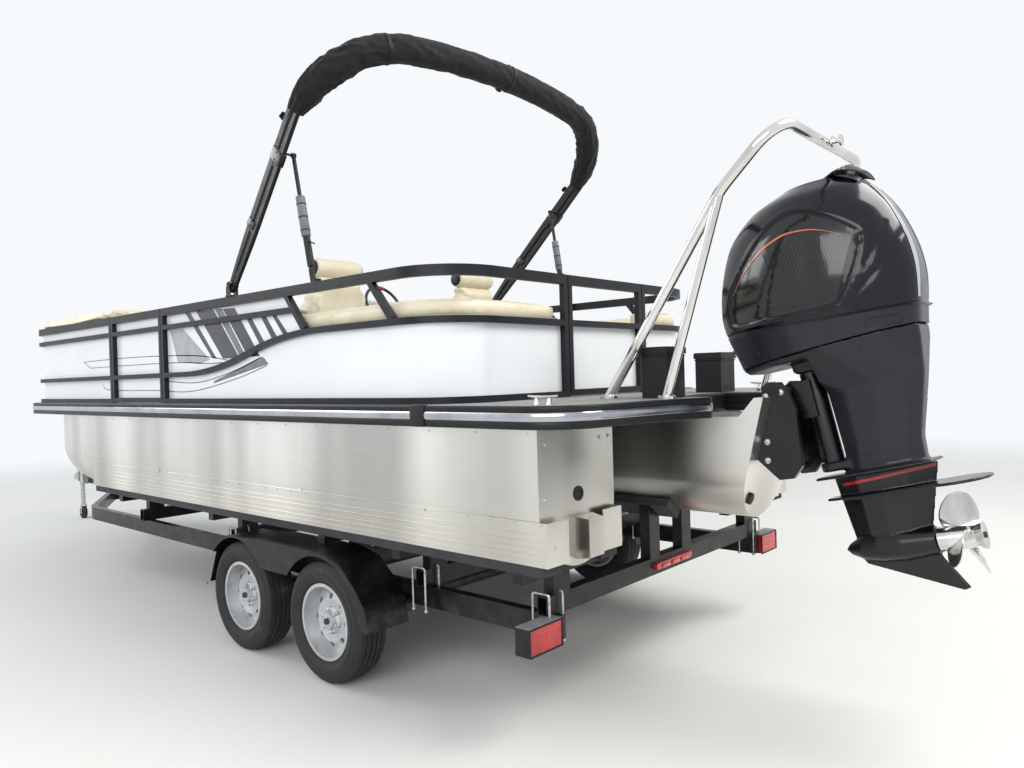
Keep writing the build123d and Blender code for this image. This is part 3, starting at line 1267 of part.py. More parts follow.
with BuildPart() as bimini_mounts:
    for side in (1, -1):
        # Fork and pin of the main pivot, clamped to the top rail
        for near in (-29, 23):
            add(block((BOW_FOOT_X - 24, BOW_FOOT_X + 24),
                      (side * BOW_FOOT_HALF + near, side * BOW_FOOT_HALF + near + 6), (TOP_Z, PIVOT_Z + 20)))
        add(block((BOW_FOOT_X - 36, BOW_FOOT_X + 36), (side * BOW_FOOT_HALF - 29, side * BOW_FOOT_HALF + 29),
                  (TOP_Z, TOP_Z + 8)))
        add(rod((BOW_FOOT_X, side * BOW_FOOT_HALF - 29, PIVOT_Z),
                (BOW_FOOT_X, side * BOW_FOOT_HALF + 29, PIVOT_Z), BOW_PIN))
        # Cradle that holds the foot of the brace, inside the top rail
        x, y, z = BRACE_FOOT
        reach = (BRACE_EYE + SEAT_GAP) / sqrt(2)
        with BuildSketch(Plane(origin=(0, side * SIDE_IN, 0), x_dir=(1, 0, 0), z_dir=(0, -1, 0))):
            with BuildLine():
                Polyline((x - reach - 22, z - reach + 22), (x - reach + 14, z - reach - 14),
                         (x - reach + 14, TOP_Z - 48), (x - reach - 46, TOP_Z - 48),
                         (x - reach - 46, z - reach + 22), close=True)
            make_face()
        extrude(amount=SIDE_IN - y + BRACE_TUBE, dir=(0, -side, 0))
keep("bimini_mounts", bimini_mounts.part)


# Trailer frame: two side rails that meet in the tongue

FRAME_TOP = FRAME_Z + FRAME_HEIGHT
a_angle = atan2(FRAME_OUT, FRAME_APEX - FRAME_BEND)


def rail_half(x):
    """Half width over the side rails at x."""
    return FRAME_OUT * min(1.0, (FRAME_APEX - x) / (FRAME_APEX - FRAME_BEND))


def frame_plan(inset):
    """Plan inside the side rails' outer face moved in by inset, open astern past the rails' ends."""
    knee = FRAME_BEND - inset * tan(a_angle / 2)
    apex = FRAME_APEX - inset / sin(a_angle)
    stern = FRAME_STERN - inset
    half = FRAME_OUT - inset
    with BuildSketch(mode=Mode.PRIVATE) as plan:
        with BuildLine():
            Polyline((stern, half), (knee, half), (apex, 0), (knee, -half), (stern, -half), close=True)
        make_face()
        fillet([v for v in plan.vertices() if abs(v.X - knee) < 1], BEND_RADIUS - inset)
    return plan.sketch


with BuildPart() as trailer_frame:
    with BuildSketch(Plane.XY.offset(FRAME_Z)):
        add(frame_plan(0.0))
        add(frame_plan(FRAME_WIDTH), mode=Mode.SUBTRACT)
    extrude(amount=FRAME_HEIGHT)
    add(block((TONGUE_STERN, TONGUE_BOW), (-TONGUE_WIDTH / 2, TONGUE_WIDTH / 2), (FRAME_Z, FRAME_TOP)))
    # Tie between the side rails behind the bend
    tie_half = rail_half(TONGUE_STERN + 60) - FRAME_WIDTH / 4
    add(block((TONGUE_STERN, TONGUE_STERN + 60), (-tie_half, tie_half), (FRAME_Z + 10, FRAME_TOP - 10)))
    # Arm inside the stern end of each fender
    for side in (1, -1):
        x = AXLE_X[1] - WHEEL_R - 52
        add(block((x - 20, x + 20),
                  (side * (FRAME_OUT - FRAME_WIDTH / 2), side * (FENDER_OUT - FENDER_SHEET - 1)),
                  (FRAME_Z, FRAME_Z + 30)))
keep("trailer_frame", trailer_frame.part)

with BuildPart() as crossbars:
    for x in CROSS_X:
        with BuildSketch(Plane(origin=(x, 0, 0), x_dir=(1, 0, 0), z_dir=(0, -1, 0))):
            with Locations((0, FRAME_TOP + CROSS_HEIGHT / 2)):
                Rectangle(CROSS_WIDTH, CROSS_HEIGHT)
                Rectangle(CROSS_WIDTH - 2 * CROSS_WALL, CROSS_HEIGHT - 2 * CROSS_WALL, mode=Mode.SUBTRACT)
        extrude(amount=FRAME_OUT + 40, both=True)
keep("crossbars", crossbars.part)

BUNK_TOP = STRAKE_BOTTOM
BUNK_LOW = BUNK_TOP - BUNK_THICK
# Middle of each bunk under the strakes of an outer pontoon
touch_out = (TUBE_HALF + sqrt(TUBE_HALF ** 2 - (TUBE_BOTTOM + TUBE_HALF - STRAKE_BOTTOM) ** 2)) / 2
tilt = radians(MID_BUNK_TILT)
mid_centre = MID_TUBE_BOTTOM + MID_TUBE_HALF
mid_reach = MID_TUBE_HALF + SEAT_GAP + BUNK_THICK / 2


with BuildPart() as bunks:
    for side in (1, -1):
        for y in (TUBE_Y + touch_out, TUBE_Y - touch_out):
            add(block((BUNK_STERN, BUNK_BOW), (side * y - BUNK_WIDTH / 2, side * y + BUNK_WIDTH / 2),
                      (BUNK_LOW, BUNK_TOP)))
        with BuildSketch(across(BUNK_STERN)):
            with Locations((side * mid_reach * sin(tilt), mid_centre - mid_reach * cos(tilt))):
                Rectangle(BUNK_WIDTH, BUNK_THICK, rotation=side * MID_BUNK_TILT)
        extrude(amount=BUNK_BOW - BUNK_STERN, dir=FORWARD)
keep("bunks", bunks.part)

CROSS_TOP = FRAME_TOP + CROSS_HEIGHT
POST_WALL = 8.0


def channel(x, y, width, low, high):
    """Upright channel, open to the bow."""
    with BuildPart(mode=Mode.PRIVATE) as post:
        add(block((x - CROSS_WIDTH / 2, x + CROSS_WIDTH / 2), (y - width / 2, y + width / 2), (low, high)))
        add(block((x - CROSS_WIDTH / 2 + POST_WALL, x + CROSS_WIDTH / 2), (y - width / 2 + POST_WALL,
                  y + width / 2 - POST_WALL), (low - 1, high + 1)), mode=Mode.SUBTRACT)
    return post.part


mid_under = MID_TUBE_HALF + 2 * SEAT_GAP + BUNK_THICK
with BuildPart() as bunk_brackets:
    for x in CROSS_X:
        for side in (1, -1):
            add(channel(x, side * (TUBE_Y + 10), 120, CROSS_TOP, BUNK_LOW - ARM_HEIGHT))
            add(block((x - CROSS_WIDTH / 2, x + CROSS_WIDTH / 2),
                      (side * (TUBE_Y - touch_out - BUNK_WIDTH / 2),
                       side * (TUBE_Y + touch_out + BUNK_WIDTH / 2)),
                      (BUNK_LOW - ARM_HEIGHT, BUNK_LOW)))
            # Saddle post under the tilted bunk of the middle pontoon
            middle = side * mid_under * sin(tilt)
            top = mid_centre - mid_under * cos(tilt)
            with BuildSketch(across(x - CROSS_WIDTH / 2)):
                with BuildLine():
                    near, far = middle - side * 50, middle + side * 50
                    slope = side * tan(tilt)
                    Polyline((near, CROSS_TOP), (far, CROSS_TOP), (far, top + slope * (far - middle)),
                             (near, top + slope * (near - middle)), close=True)
                make_face()
            extrude(amount=CROSS_WIDTH, dir=FORWARD)
keep("bunk_brackets", bunk_brackets.part)

# Fender outline from bow to stern: x, z
front_x, rear_x = AXLE_X
FENDER_PLAN = (
    (front_x + WHEEL_R + 34, 357.0), (front_x + 262, 590.0), (front_x + 150, 690.0),
    (front_x - 245, FENDER_TOP), (rear_x - 31, FENDER_TOP), (rear_x - 199, 680.0), (rear_x - 319, 584.0),
    (rear_x - 410, 480.0), (rear_x - 433, 359.0),
)
with BuildPart() as fenders:
    for side in (1, -1):
        side_plane = Plane(origin=(0, side * FENDER_IN, 0), x_dir=(1, 0, 0), z_dir=(0, -1, 0))
        with BuildSketch(side_plane) as side_view:
            with BuildLine():
                Polyline(*FENDER_PLAN, close=True)
            make_face()
            bends = [v for v in side_view.vertices() if v.Y > 400]
            fillet(bends, 60)
        extrude(amount=FENDER_OUT - FENDER_IN, dir=(0, side, 0))
        with BuildSketch(side_plane.offset(side)) as inside:
            with BuildLine():
                Polyline(*FENDER_PLAN, close=True)
            make_face()
            fillet([v for v in inside.vertices() if v.Y > 400], 60)
            offset(amount=-FENDER_SHEET)
            with Locations(((front_x + rear_x) / 2, 340)):
                Rectangle(2 * (WHEEL_R + 90) + front_x - rear_x, 60)
        extrude(amount=FENDER_OUT - FENDER_IN + 1 - FENDER_SHEET, dir=(0, side, 0), mode=Mode.SUBTRACT)
        # Wheel openings in the outer side, and its lower edge between the wheels
        with BuildSketch(Plane(origin=(0, side * (FENDER_OUT - 20), 0), x_dir=(1, 0, 0), z_dir=(0, -1, 0))):
            with Locations((front_x, WHEEL_R), (rear_x, WHEEL_R)):
                Circle(WHEEL_R + ARCH_GAP)
            with Locations(((front_x + rear_x) / 2, 400)):
                Rectangle(front_x - rear_x + 2 * WHEEL_R - 40, 300)
        extrude(amount=60, dir=(0, side, 0), mode=Mode.SUBTRACT)
        # Angle that ties the fender's crown to the frame
        middle = (front_x + rear_x) / 2
        add(block((middle - 120, middle + 120), (side * FRAME_OUT, side * (FENDER_IN + 30)),
                  (FRAME_TOP - 8, FRAME_TOP)))
        add(block((middle - 120, middle + 120), (side * (FENDER_IN + 24), side * (FENDER_IN + 30)),
                  (FRAME_TOP - 8, FENDER_TOP - FENDER_SHEET)))
keep("fenders", fenders.part)

# Running gear: axles, springs, wheels
wheel_in = WHEEL_OUT - WHEEL_WIDTH
with BuildPart() as axles:
    for x in AXLE_X:
        with Locations(Plane(origin=(x, 0, WHEEL_R), z_dir=(0, 1, 0))):
            Cylinder(AXLE_R, 2 * (wheel_in - 20))
            Cylinder(SPINDLE_R, 2 * (WHEEL_OUT - 28))
        for side in (1, -1):
            # Brake backing plate
            with Locations(Plane(origin=(x, side * (wheel_in + 20), WHEEL_R), z_dir=(0, 1, 0))):
                Cylinder(130, 8)
            with Locations(Plane(origin=(x, side * wheel_in, WHEEL_R), z_dir=(0, 1, 0))):
                Cylinder(AXLE_R, 50)
keep("axles", axles.part)

SPRING_REACH = 330.0
SPRING_WIDTH = 44.0
spring_y = FRAME_OUT - FRAME_WIDTH / 2
with BuildPart() as leaf_springs:
    low = WHEEL_R + AXLE_R
    for side in (1, -1):
        for x in AXLE_X:
            with BuildSketch(Plane(origin=(0, side * spring_y, 0), x_dir=(1, 0, 0), z_dir=(0, -1, 0))):
                with BuildLine():
                    ThreePointArc((x - SPRING_REACH, low + 24), (x, low), (x + SPRING_REACH, low + 24))
                    Line((x + SPRING_REACH, low + 24), (x + SPRING_REACH, low + 34))
                    ThreePointArc((x + SPRING_REACH, low + 34), (x, low + SPRING_THICK),
                                  (x - SPRING_REACH, low + 34))
                    Line((x - SPRING_REACH, low + 34), (x - SPRING_REACH, low + 24))
                make_face()
            extrude(amount=SPRING_WIDTH / 2, both=True)
            for end in (x - SPRING_REACH, x + SPRING_REACH):
                add(block((end - 26, end + 26), (side * (spring_y - 30), side * (spring_y + 30)),
                          (low + 14, FRAME_Z)))
keep("leaf_springs", leaf_springs.part)


def wheel(x, side):
    """Tyre and rim of one wheel; the rim's bore runs on the spindle."""
    mid = side * (WHEEL_OUT - WHEEL_WIDTH / 2)
    # X of this plane runs from the middle of the tread to the outer side, Y is the radius
    plane = Plane(origin=(x, mid, WHEEL_R), x_dir=(0, side, 0), z_dir=(side, 0, 0))
    axis = Axis((x, 0, WHEEL_R), (0, 1, 0))
    half = WHEEL_WIDTH / 2
    bead = half - 26
    with BuildPart(mode=Mode.PRIVATE) as tyre:
        with BuildSketch(plane) as section:
            with BuildLine():
                Line((bead, RIM_R + 2), (-bead, RIM_R + 2))
                Line((-bead, RIM_R + 2), (-bead, RIM_R + 15))
                ThreePointArc((-bead, RIM_R + 15), (-half, (RIM_R + WHEEL_R) / 2), (22 - half, WHEEL_R - 8))
                ThreePointArc((22 - half, WHEEL_R - 8), (0, WHEEL_R), (half - 22, WHEEL_R - 8))
                ThreePointArc((half - 22, WHEEL_R - 8), (half, (RIM_R + WHEEL_R) / 2), (bead, RIM_R + 15))
                Line((bead, RIM_R + 15), (bead, RIM_R + 2))
            make_face()
            # Four grooves round the tread
            with Locations(*[(place, WHEEL_R - 4) for place in (-48, -16, 16, 48)]):
                Rectangle(7, 12, mode=Mode.SUBTRACT)
        revolve(axis=axis)
    with BuildPart(mode=Mode.PRIVATE) as rim:
        with BuildSketch(plane):
            with BuildLine():
                lip, flange = bead + SEAT_GAP, bead + SEAT_GAP + 6
                seat, bore = RIM_R + 2 - SEAT_GAP, SPINDLE_R + SEAT_GAP
                Polyline((flange, RIM_R + 12), (lip, RIM_R + 12), (lip, seat), (-lip, seat),
                         (-lip, RIM_R + 12), (-flange, RIM_R + 12), (-flange, RIM_R - 6), (-2, RIM_R - 6),
                         (12, 158), (28, 118), (20, 64), (-50, 44), (-50, bore), (62, bore), (62, 42),
                         (40, 50), (30, 70), (38, 120), (22, 162), (10, RIM_R - 6), (flange, RIM_R - 6),
                         close=True)
            make_face()
        revolve(axis=axis)
    return tyre.part, rim.part


def rim_holes(x, side):
    """Ring of eight round holes through the disc of a rim."""
    with BuildPart(mode=Mode.PRIVATE) as holes:
        with BuildSketch(Plane(origin=(x, side * (WHEEL_OUT - WHEEL_WIDTH), WHEEL_R), x_dir=(1, 0, 0),
                               z_dir=(0, side, 0))):
            with PolarLocations(132, 8):
                Circle(15)
        extrude(amount=WHEEL_WIDTH)
    return holes.part


for name, side in (("port", 1), ("starboard", -1)):
    for end, x in zip(("front", "rear"), AXLE_X):
        tyre, rim = wheel(x, side)
        keep(f"tyre_{end}_{name}", tyre)
        keep(f"rim_{end}_{name}", rim - rim_holes(x, side))


# Tongue: coupler, jack and winch post

BALL_R = 29.5
with BuildPart() as coupler:
    with BuildSketch(Plane.XZ) as side_view:
        with BuildLine():
            Polyline((TONGUE_BOW, FRAME_Z), (TONGUE_BOW + 40, FRAME_Z), (COUPLER_X - 42, FRAME_Z + 16),
                     (COUPLER_X + 42, FRAME_Z + 16), (COUPLER_X + 42, FRAME_Z + 62),
                     (COUPLER_X - 10, FRAME_TOP - 20), (TONGUE_BOW + 40, FRAME_TOP + 8),
                     (TONGUE_BOW, FRAME_TOP + 8), close=True)
        make_face()
        fillet(side_view.vertices().sort_by(Axis.X)[-2:], 12)
    extrude(amount=40, both=True)
    with Locations((COUPLER_X, 0, FRAME_Z + 36)):
        Sphere(BALL_R, mode=Mode.SUBTRACT)
    with Locations((COUPLER_X, 0, FRAME_Z + 36)):
        Cylinder(BALL_R, 80, align=(Align.CENTER, Align.CENTER, Align.MAX), mode=Mode.SUBTRACT)
    # Latch handle
    add(block((COUPLER_X - 60, COUPLER_X + 12), (-9, 9), (FRAME_TOP - 30, FRAME_TOP + 26)))
keep("coupler", coupler.part)

AXLE_TOP = 2 * JACK_WHEEL_R + 12
FORK_PLATE = 8.0
JACK_LOW = AXLE_TOP + FORK_PLATE + JACK_TRAVEL + RUN_GAP
LEG_TOP = JACK_LOW + JACK_GRIP
JACK_TOP = LEG_TOP + JACK_TRAVEL + 30
with BuildPart() as jack_tube:
    with Locations((JACK_X, JACK_Y, JACK_LOW)):
        Cylinder(JACK_R, JACK_TOP - JACK_LOW, align=(Align.CENTER, Align.CENTER, Align.MIN))
    # Gear head with its crank
    with Locations((JACK_X, JACK_Y, JACK_TOP - 30)):
        Cylinder(38, 44, align=(Align.CENTER, Align.CENTER, Align.MIN))
    add(rod((JACK_X, JACK_Y, JACK_TOP - 8), (JACK_X, JACK_Y + 120, JACK_TOP - 8), 8))
    add(rod((JACK_X, JACK_Y + 112, JACK_TOP - 8), (JACK_X - 160, JACK_Y + 112, JACK_TOP - 8), 8))
    add(rod((JACK_X - 160, JACK_Y + 104, JACK_TOP - 8), (JACK_X - 160, JACK_Y + 210, JACK_TOP - 8), 12))
    # Bracket that clamps it to the tongue
    add(block((JACK_X - 55, JACK_X + 55), (TONGUE_WIDTH / 2, TONGUE_WIDTH / 2 + 10),
              (FRAME_Z - 12, FRAME_TOP + 12)))
    add(block((JACK_X - 26, JACK_X + 26), (TONGUE_WIDTH / 2, JACK_Y - 10), (FRAME_Z + 10, FRAME_TOP - 10)))
    with Locations((JACK_X, JACK_Y, JACK_LOW)):
        Cylinder(JACK_R - JACK_WALL, LEG_TOP + JACK_TRAVEL + RUN_GAP - JACK_LOW,
                 align=(Align.CENTER, Align.CENTER, Align.MIN), mode=Mode.SUBTRACT)
keep("jack_tube", jack_tube.part)

with BuildPart() as jack_leg:
    with Locations((JACK_X, JACK_Y, AXLE_TOP)):
        Cylinder(JACK_R - JACK_WALL - SEAT_GAP, LEG_TOP - AXLE_TOP,
                 align=(Align.CENTER, Align.CENTER, Align.MIN))
    # Fork and axle of the caster
    for side in (1, -1):
        near = JACK_WHEEL_WIDTH / 2 + 4
        add(block((JACK_X - 20, JACK_X + 20), (JACK_Y + side * near, JACK_Y + side * (near + 5)),
                  (JACK_WHEEL_R - 18, AXLE_TOP + FORK_PLATE)))
    fork_half = JACK_WHEEL_WIDTH / 2 + 9
    add(block((JACK_X - 20, JACK_X + 20), (JACK_Y - fork_half, JACK_Y + fork_half),
              (AXLE_TOP, AXLE_TOP + FORK_PLATE)))
    add(rod((JACK_X, JACK_Y - JACK_WHEEL_WIDTH / 2 - 12, JACK_WHEEL_R),
            (JACK_X, JACK_Y + JACK_WHEEL_WIDTH / 2 + 12, JACK_WHEEL_R), 8))
keep("jack_leg", jack_leg.part)

with BuildPart() as jack_wheel:
    with BuildSketch(Plane(origin=(JACK_X, JACK_Y, JACK_WHEEL_R), x_dir=(0, 1, 0), z_dir=(1, 0, 0))):
        with BuildLine():
            half = JACK_WHEEL_WIDTH / 2
            Polyline((-half, 8 + SEAT_GAP), (half, 8 + SEAT_GAP), (half, 26), (half - 12, 30),
                     (half - 12, 50), (half, 56), (half, JACK_WHEEL_R - 6), (half - 6, JACK_WHEEL_R),
                     (6 - half, JACK_WHEEL_R), (-half, JACK_WHEEL_R - 6), (-half, 56), (12 - half, 50),
                     (12 - half, 30), (-half, 26), close=True)
        make_face()
    revolve(axis=Axis((JACK_X, JACK_Y, JACK_WHEEL_R), (0, 1, 0)))
keep("jack_wheel", jack_wheel.part)

stop_x = NOSE_TIP + 44
with BuildPart() as winch_post:
    with BuildSketch(Plane.XZ):
        with BuildLine():
            Polyline((WINCH_X + 130, FRAME_TOP), (WINCH_X + 230, FRAME_TOP), (WINCH_X + 30, 1180),
                     (WINCH_X + 30, 1330), (WINCH_X - 40, 1330), (WINCH_X - 40, 1150), close=True)
        make_face()
    extrude(amount=32, both=True)
    # Arms that hold the bow stop
    for side in (1, -1):
        add(block((stop_x - 30, WINCH_X + 20), (side * 32, side * 40), (BOW_STOP_Z - 25, BOW_STOP_Z + 15)))
    # Winch drum and its housing
    with Locations(Plane(origin=(WINCH_X + 60, 0, 1255), z_dir=(0, 1, 0))):
        Cylinder(58, 110)
    add(rod((WINCH_X + 60, 50, 1255), (WINCH_X + 60, 96, 1255), 9))
    add(rod((WINCH_X + 60, 90, 1255), (WINCH_X + 230, 90, 1200), 8))
    # Roller against the middle pontoon's nose
    with Locations(Plane(origin=(stop_x, 0, BOW_STOP_Z), z_dir=(0, 1, 0))):
        Cylinder(NOSE_TIP + 44 - NOSE_TIP - SEAT_GAP, 64)
keep("winch_post", winch_post.part)

LIGHT_X = FRAME_STERN - 22
with BuildPart() as tail_lights:
    for side in (1, -1):
        add(block((LIGHT_X, FRAME_STERN + 60), (side * (FRAME_OUT + 4), side * (FRAME_OUT + 226)),
                  (FRAME_Z - 8, FRAME_TOP - 1)))
        add(block((FRAME_STERN + 14, FRAME_STERN + 54), (side * FRAME_OUT, side * (FRAME_OUT + 5)),
                  (FRAME_Z + 10, FRAME_TOP - 10)))
    # Row of marker lamps on the rear crossbar
    with BuildSketch(Plane(origin=(CROSS_X[-1] - CROSS_WIDTH / 2, 0, 0), x_dir=(0, 1, 0), z_dir=(1, 0, 0))):
        with Locations((0, FRAME_TOP + CROSS_HEIGHT / 2)):
            SlotOverall(380, 34)
    extrude(amount=22, dir=(-1, 0, 0))
keep("tail_lights", tail_lights.part)


# The origin moves under the middle of the whole

low_x = min(piece.bounding_box().min.X for piece in pieces.values())
high_x = max(piece.bounding_box().max.X for piece in pieces.values())
SHIFT = -(low_x + high_x) / 2
for name, piece in pieces.items():
    placed = piece.moved(Location((SHIFT, 0, 0)))
    placed.label = name
    export_step(placed, f"parts/{name}.step")
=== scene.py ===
"""Looks of a pontoon boat on its trailer: finishes, cushions, fabric, stripes, fittings, light and camera.

Places are written as ship coordinates in metres: x from the stern fence to the bow, y to port and z up from
the ground. ship() moves them into the row frame. Places on the outboard motor are (u, w) in its own side
plane, u forward and w up its leg from the tilt pivot, and motor() moves those. Colours are red, green and
blue from 0 to 255, and paint() makes them linear where a node takes them.
"""

import json
from math import atan2, cos, pi, radians, sin

import bmesh
import bpy
import numpy as np
from mathutils import Matrix, Vector, noise
from mathutils.bvhtree import BVHTree


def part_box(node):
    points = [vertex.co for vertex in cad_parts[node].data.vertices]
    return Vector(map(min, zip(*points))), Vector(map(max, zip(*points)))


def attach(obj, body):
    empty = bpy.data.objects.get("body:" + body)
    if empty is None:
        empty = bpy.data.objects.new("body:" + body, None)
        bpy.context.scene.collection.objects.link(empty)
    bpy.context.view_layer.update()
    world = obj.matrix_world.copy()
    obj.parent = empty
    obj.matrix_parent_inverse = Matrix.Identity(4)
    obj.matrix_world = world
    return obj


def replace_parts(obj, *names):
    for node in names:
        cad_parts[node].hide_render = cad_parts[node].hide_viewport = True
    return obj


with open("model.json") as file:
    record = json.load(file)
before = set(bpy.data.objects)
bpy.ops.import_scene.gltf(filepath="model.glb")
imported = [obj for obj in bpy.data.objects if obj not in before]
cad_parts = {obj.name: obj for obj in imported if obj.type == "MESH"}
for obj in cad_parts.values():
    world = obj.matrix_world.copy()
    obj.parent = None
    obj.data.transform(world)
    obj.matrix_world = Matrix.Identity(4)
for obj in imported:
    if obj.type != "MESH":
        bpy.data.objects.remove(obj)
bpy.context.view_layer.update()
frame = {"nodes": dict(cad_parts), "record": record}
NODES = frame["nodes"]
ROOT = "boat_on_trailer"
SCENE = bpy.context.scene

BAR = 0.034
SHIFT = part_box("panels_port")[0].x - BAR      # the stern panel lies one bar inside the stern fence
DECK_TOP = 1.506
TILT_PIVOT = Vector((-1.136, 0.0, 1.520))
TRIM = radians(13.5)
U_DIR = Vector((cos(TRIM), 0.0, -sin(TRIM)))
W_DIR = Vector((sin(TRIM), 0.0, cos(TRIM)))


def ship(x, y, z):
    """Row-frame point from ship coordinates."""
    return Vector((x + SHIFT, y, z))


def motor(u, w, y=0.0):
    """Row-frame point from the motor's side plane."""
    p = TILT_PIVOT + U_DIR * u + W_DIR * w
    return ship(p.x, y, p.z)


# Finishes

def paint(r, g, b):
    """Linear colour from the usual 0 to 255 values."""
    def linear(c):
        c /= 255.0
        return c / 12.92 if c <= 0.04045 else ((c + 0.055) / 1.055) ** 2.4
    return (linear(r), linear(g), linear(b), 1.0)


def join(tree, value, socket):
    """Links an output to a socket, or gives the socket a plain value."""
    if hasattr(value, "is_output"):
        tree.links.new(value, socket)
    else:
        socket.default_value = value


def add_node(tree, kind, *inputs, **values):
    """New node; values are its sockets and settings by name, and inputs fill its first sockets."""
    made = tree.nodes.new(kind)
    for key, value in values.items():
        if key in made.inputs:
            join(tree, value, made.inputs[key])
        else:
            setattr(made, key, value)
    for value, socket in zip(inputs, made.inputs):
        join(tree, value, socket)
    return made


class Finish:
    """A Principled material with the nodes that vary its colour, roughness and surface."""

    def __init__(self, name, metal=0.0, **sockets):
        self.name = name
        self.material = bpy.data.materials.new(name)
        self.material.use_nodes = True
        self.tree = self.material.node_tree
        self.shader = self.tree.nodes["Principled BSDF"]
        self.shader.inputs["Metallic"].default_value = metal
        for key, value in sockets.items():
            self.shader.inputs[key.replace("_", " ")].default_value = value
        self.place = self.node("ShaderNodeTexCoord").outputs["Object"]
        self.normal = None

    def node(self, kind, **values):
        return add_node(self.tree, kind, **values)

    def noise(self, scale, detail=3.0, stretch=None, rough=0.55):
        place = self.place
        if stretch:
            place = self.node("ShaderNodeMapping", Vector=place, Scale=stretch).outputs["Vector"]
        return self.node("ShaderNodeTexNoise", Vector=place, Scale=scale, Detail=detail,
                         Roughness=rough).outputs["Fac"]

    def cells(self, scale, feature="F1"):
        return self.node("ShaderNodeTexVoronoi", feature=feature, Vector=self.place,
                         Scale=scale).outputs["Distance"]

    def waves(self, scale, direction, bend):
        return self.node("ShaderNodeTexWave", bands_direction=direction, Vector=self.place,
                         Scale=scale, Distortion=bend, Detail=2.0).outputs["Fac"]

    def ramp(self, factor, *stops):
        """Colour from a factor; each stop is (position, colour)."""
        ramp = self.node("ShaderNodeValToRGB", Fac=factor)
        points = ramp.color_ramp.elements
        while len(points) < len(stops):
            points.new(0.5)
        for point, (position, colour) in zip(points, stops):
            point.position = position
            point.color = paint(*colour)
        return ramp.outputs["Color"]

    def ranged(self, factor, low, high, start=0.3, end=0.7):
        """A factor's stretch from start to end, moved to low and high."""
        places = {"From Min": start, "From Max": end, "To Min": low, "To Max": high}
        return self.node("ShaderNodeMapRange", Value=factor, **places).outputs["Result"]

    def mixed(self, factor, first, second, how="MIX"):
        """Mix of two outputs or colours."""
        mix = self.node("ShaderNodeMix", data_type="RGBA", blend_type=how)
        for number, value in ((0, factor), (6, first), (7, second)):
            join(self.tree, paint(*value) if isinstance(value, tuple) else value, mix.inputs[number])
        return mix.outputs[2]

    def height(self, axis):
        """One coordinate of the row frame, such as Z for dust near the ground."""
        return self.node("ShaderNodeSeparateXYZ", Vector=self.place).outputs[axis]

    def colour(self, socket):
        self.tree.links.new(socket, self.shader.inputs["Base Color"])

    def roughness(self, factor, low, high):
        self.tree.links.new(self.ranged(factor, low, high), self.shader.inputs["Roughness"])

    def bump(self, height, depth):
        """Adds relief of a real depth in metres on top of what is there."""
        bump = self.node("ShaderNodeBump", Height=height, Distance=depth, Strength=1.0)
        if self.normal:
            self.tree.links.new(self.normal, bump.inputs["Normal"])
        self.normal = bump.outputs["Normal"]
        self.tree.links.new(self.normal, self.shader.inputs["Normal"])


def coated(name, dark, light, rough=(0.25, 0.35), metal=0.0, scale=6.0, grain=900.0, grain_depth=0.00004,
           wave_depth=0.0, **sockets):
    """Paint or moulded plastic: mottled colour, uneven gloss, fine grain and slow waviness."""
    f = Finish(name, metal, **sockets)
    patches = f.noise(scale, 5.0)
    f.colour(f.ramp(patches, (0.3, dark), (0.7, light)))
    f.roughness(f.noise(scale * 2.3, 4.0), *rough)
    f.bump(f.noise(grain, 2.0), grain_depth)
    if wave_depth:
        f.bump(f.noise(2.2, 2.0), wave_depth)
    return f


def brushed(name, dark, light, along, rough, scale=1.4, depth=0.00003):
    """Metal with fine lines along one axis and broad soft bands across it."""
    f = Finish(name, 1.0)
    fine = tuple(1.2 if axis == along else 90.0 for axis in "XYZ")
    bands = f.noise(scale, 3.0, (1.0, 1.0, 0.22))
    lines = f.noise(9.0, 4.0, fine)
    tone = f.ramp(bands, (0.28, dark), (0.72, light))
    f.colour(f.mixed(0.16, tone, f.ramp(lines, (0.35, dark), (0.65, light))))
    f.roughness(bands, *rough)
    f.bump(lines, depth)
    return f


def pontoon_finish(name):
    f = Finish(name, 1.0)
    # Painted reflections: broad upright bands of lighter and darker colour stand in for the wavy sheet's
    # reflections; the same bands also vary the roughness.
    bands = f.noise(2.6, 1.0, (1.0, 1.0, 0.10), 0.4)
    mill = f.noise(5.0, 3.0, (0.6, 40.0, 40.0))
    tone = f.ramp(bands, (0.30, (186, 185, 181)), (0.5, (216, 215, 211)), (0.70, (243, 242, 238)))
    # Painted reflection of the ground: the colour turns warmer and darker towards the bottom of the tube.
    low = f.mixed(f.ranged(f.height("Z"), 0.30, 0.0, 0.85, 1.25), tone, (206, 194, 174), "MULTIPLY")
    f.colour(f.mixed(0.10, low, f.ramp(mill, (0.35, (196, 195, 190)), (0.65, (240, 239, 235)))))
    f.roughness(bands, 0.24, 0.36)
    f.bump(mill, 0.00001)
    f.bump(f.noise(1.1, 1.0, (1.0, 1.0, 0.2)), 0.003)
    return f


def deck_finish(name):
    f = Finish(name)
    speck = f.noise(420.0, 2.0)
    flakes = f.cells(310.0)
    base = f.ramp(speck, (0.36, (96, 96, 97)), (0.5, (142, 141, 139)), (0.66, (186, 184, 180)))
    f.colour(f.mixed(f.ranged(flakes, 0.55, 0.0, 0.12, 0.3), base, (62, 62, 64)))
    f.roughness(f.noise(5.0), 0.55, 0.72)
    f.bump(speck, 0.0004)
    return f


def vinyl_finish(name, dark, light):
    f = Finish(name)
    tone = f.ramp(f.noise(4.0, 5.0), (0.3, dark), (0.7, light))
    grain = f.cells(520.0, feature="SMOOTH_F1")
    f.colour(f.mixed(f.ranged(grain, 0.14, 0.0, 0.0, 0.4), tone, dark))
    f.roughness(f.noise(40.0, 3.0), 0.42, 0.55)
    f.bump(grain, 0.00025)
    f.bump(f.noise(26.0, 3.0), 0.0012)
    return f


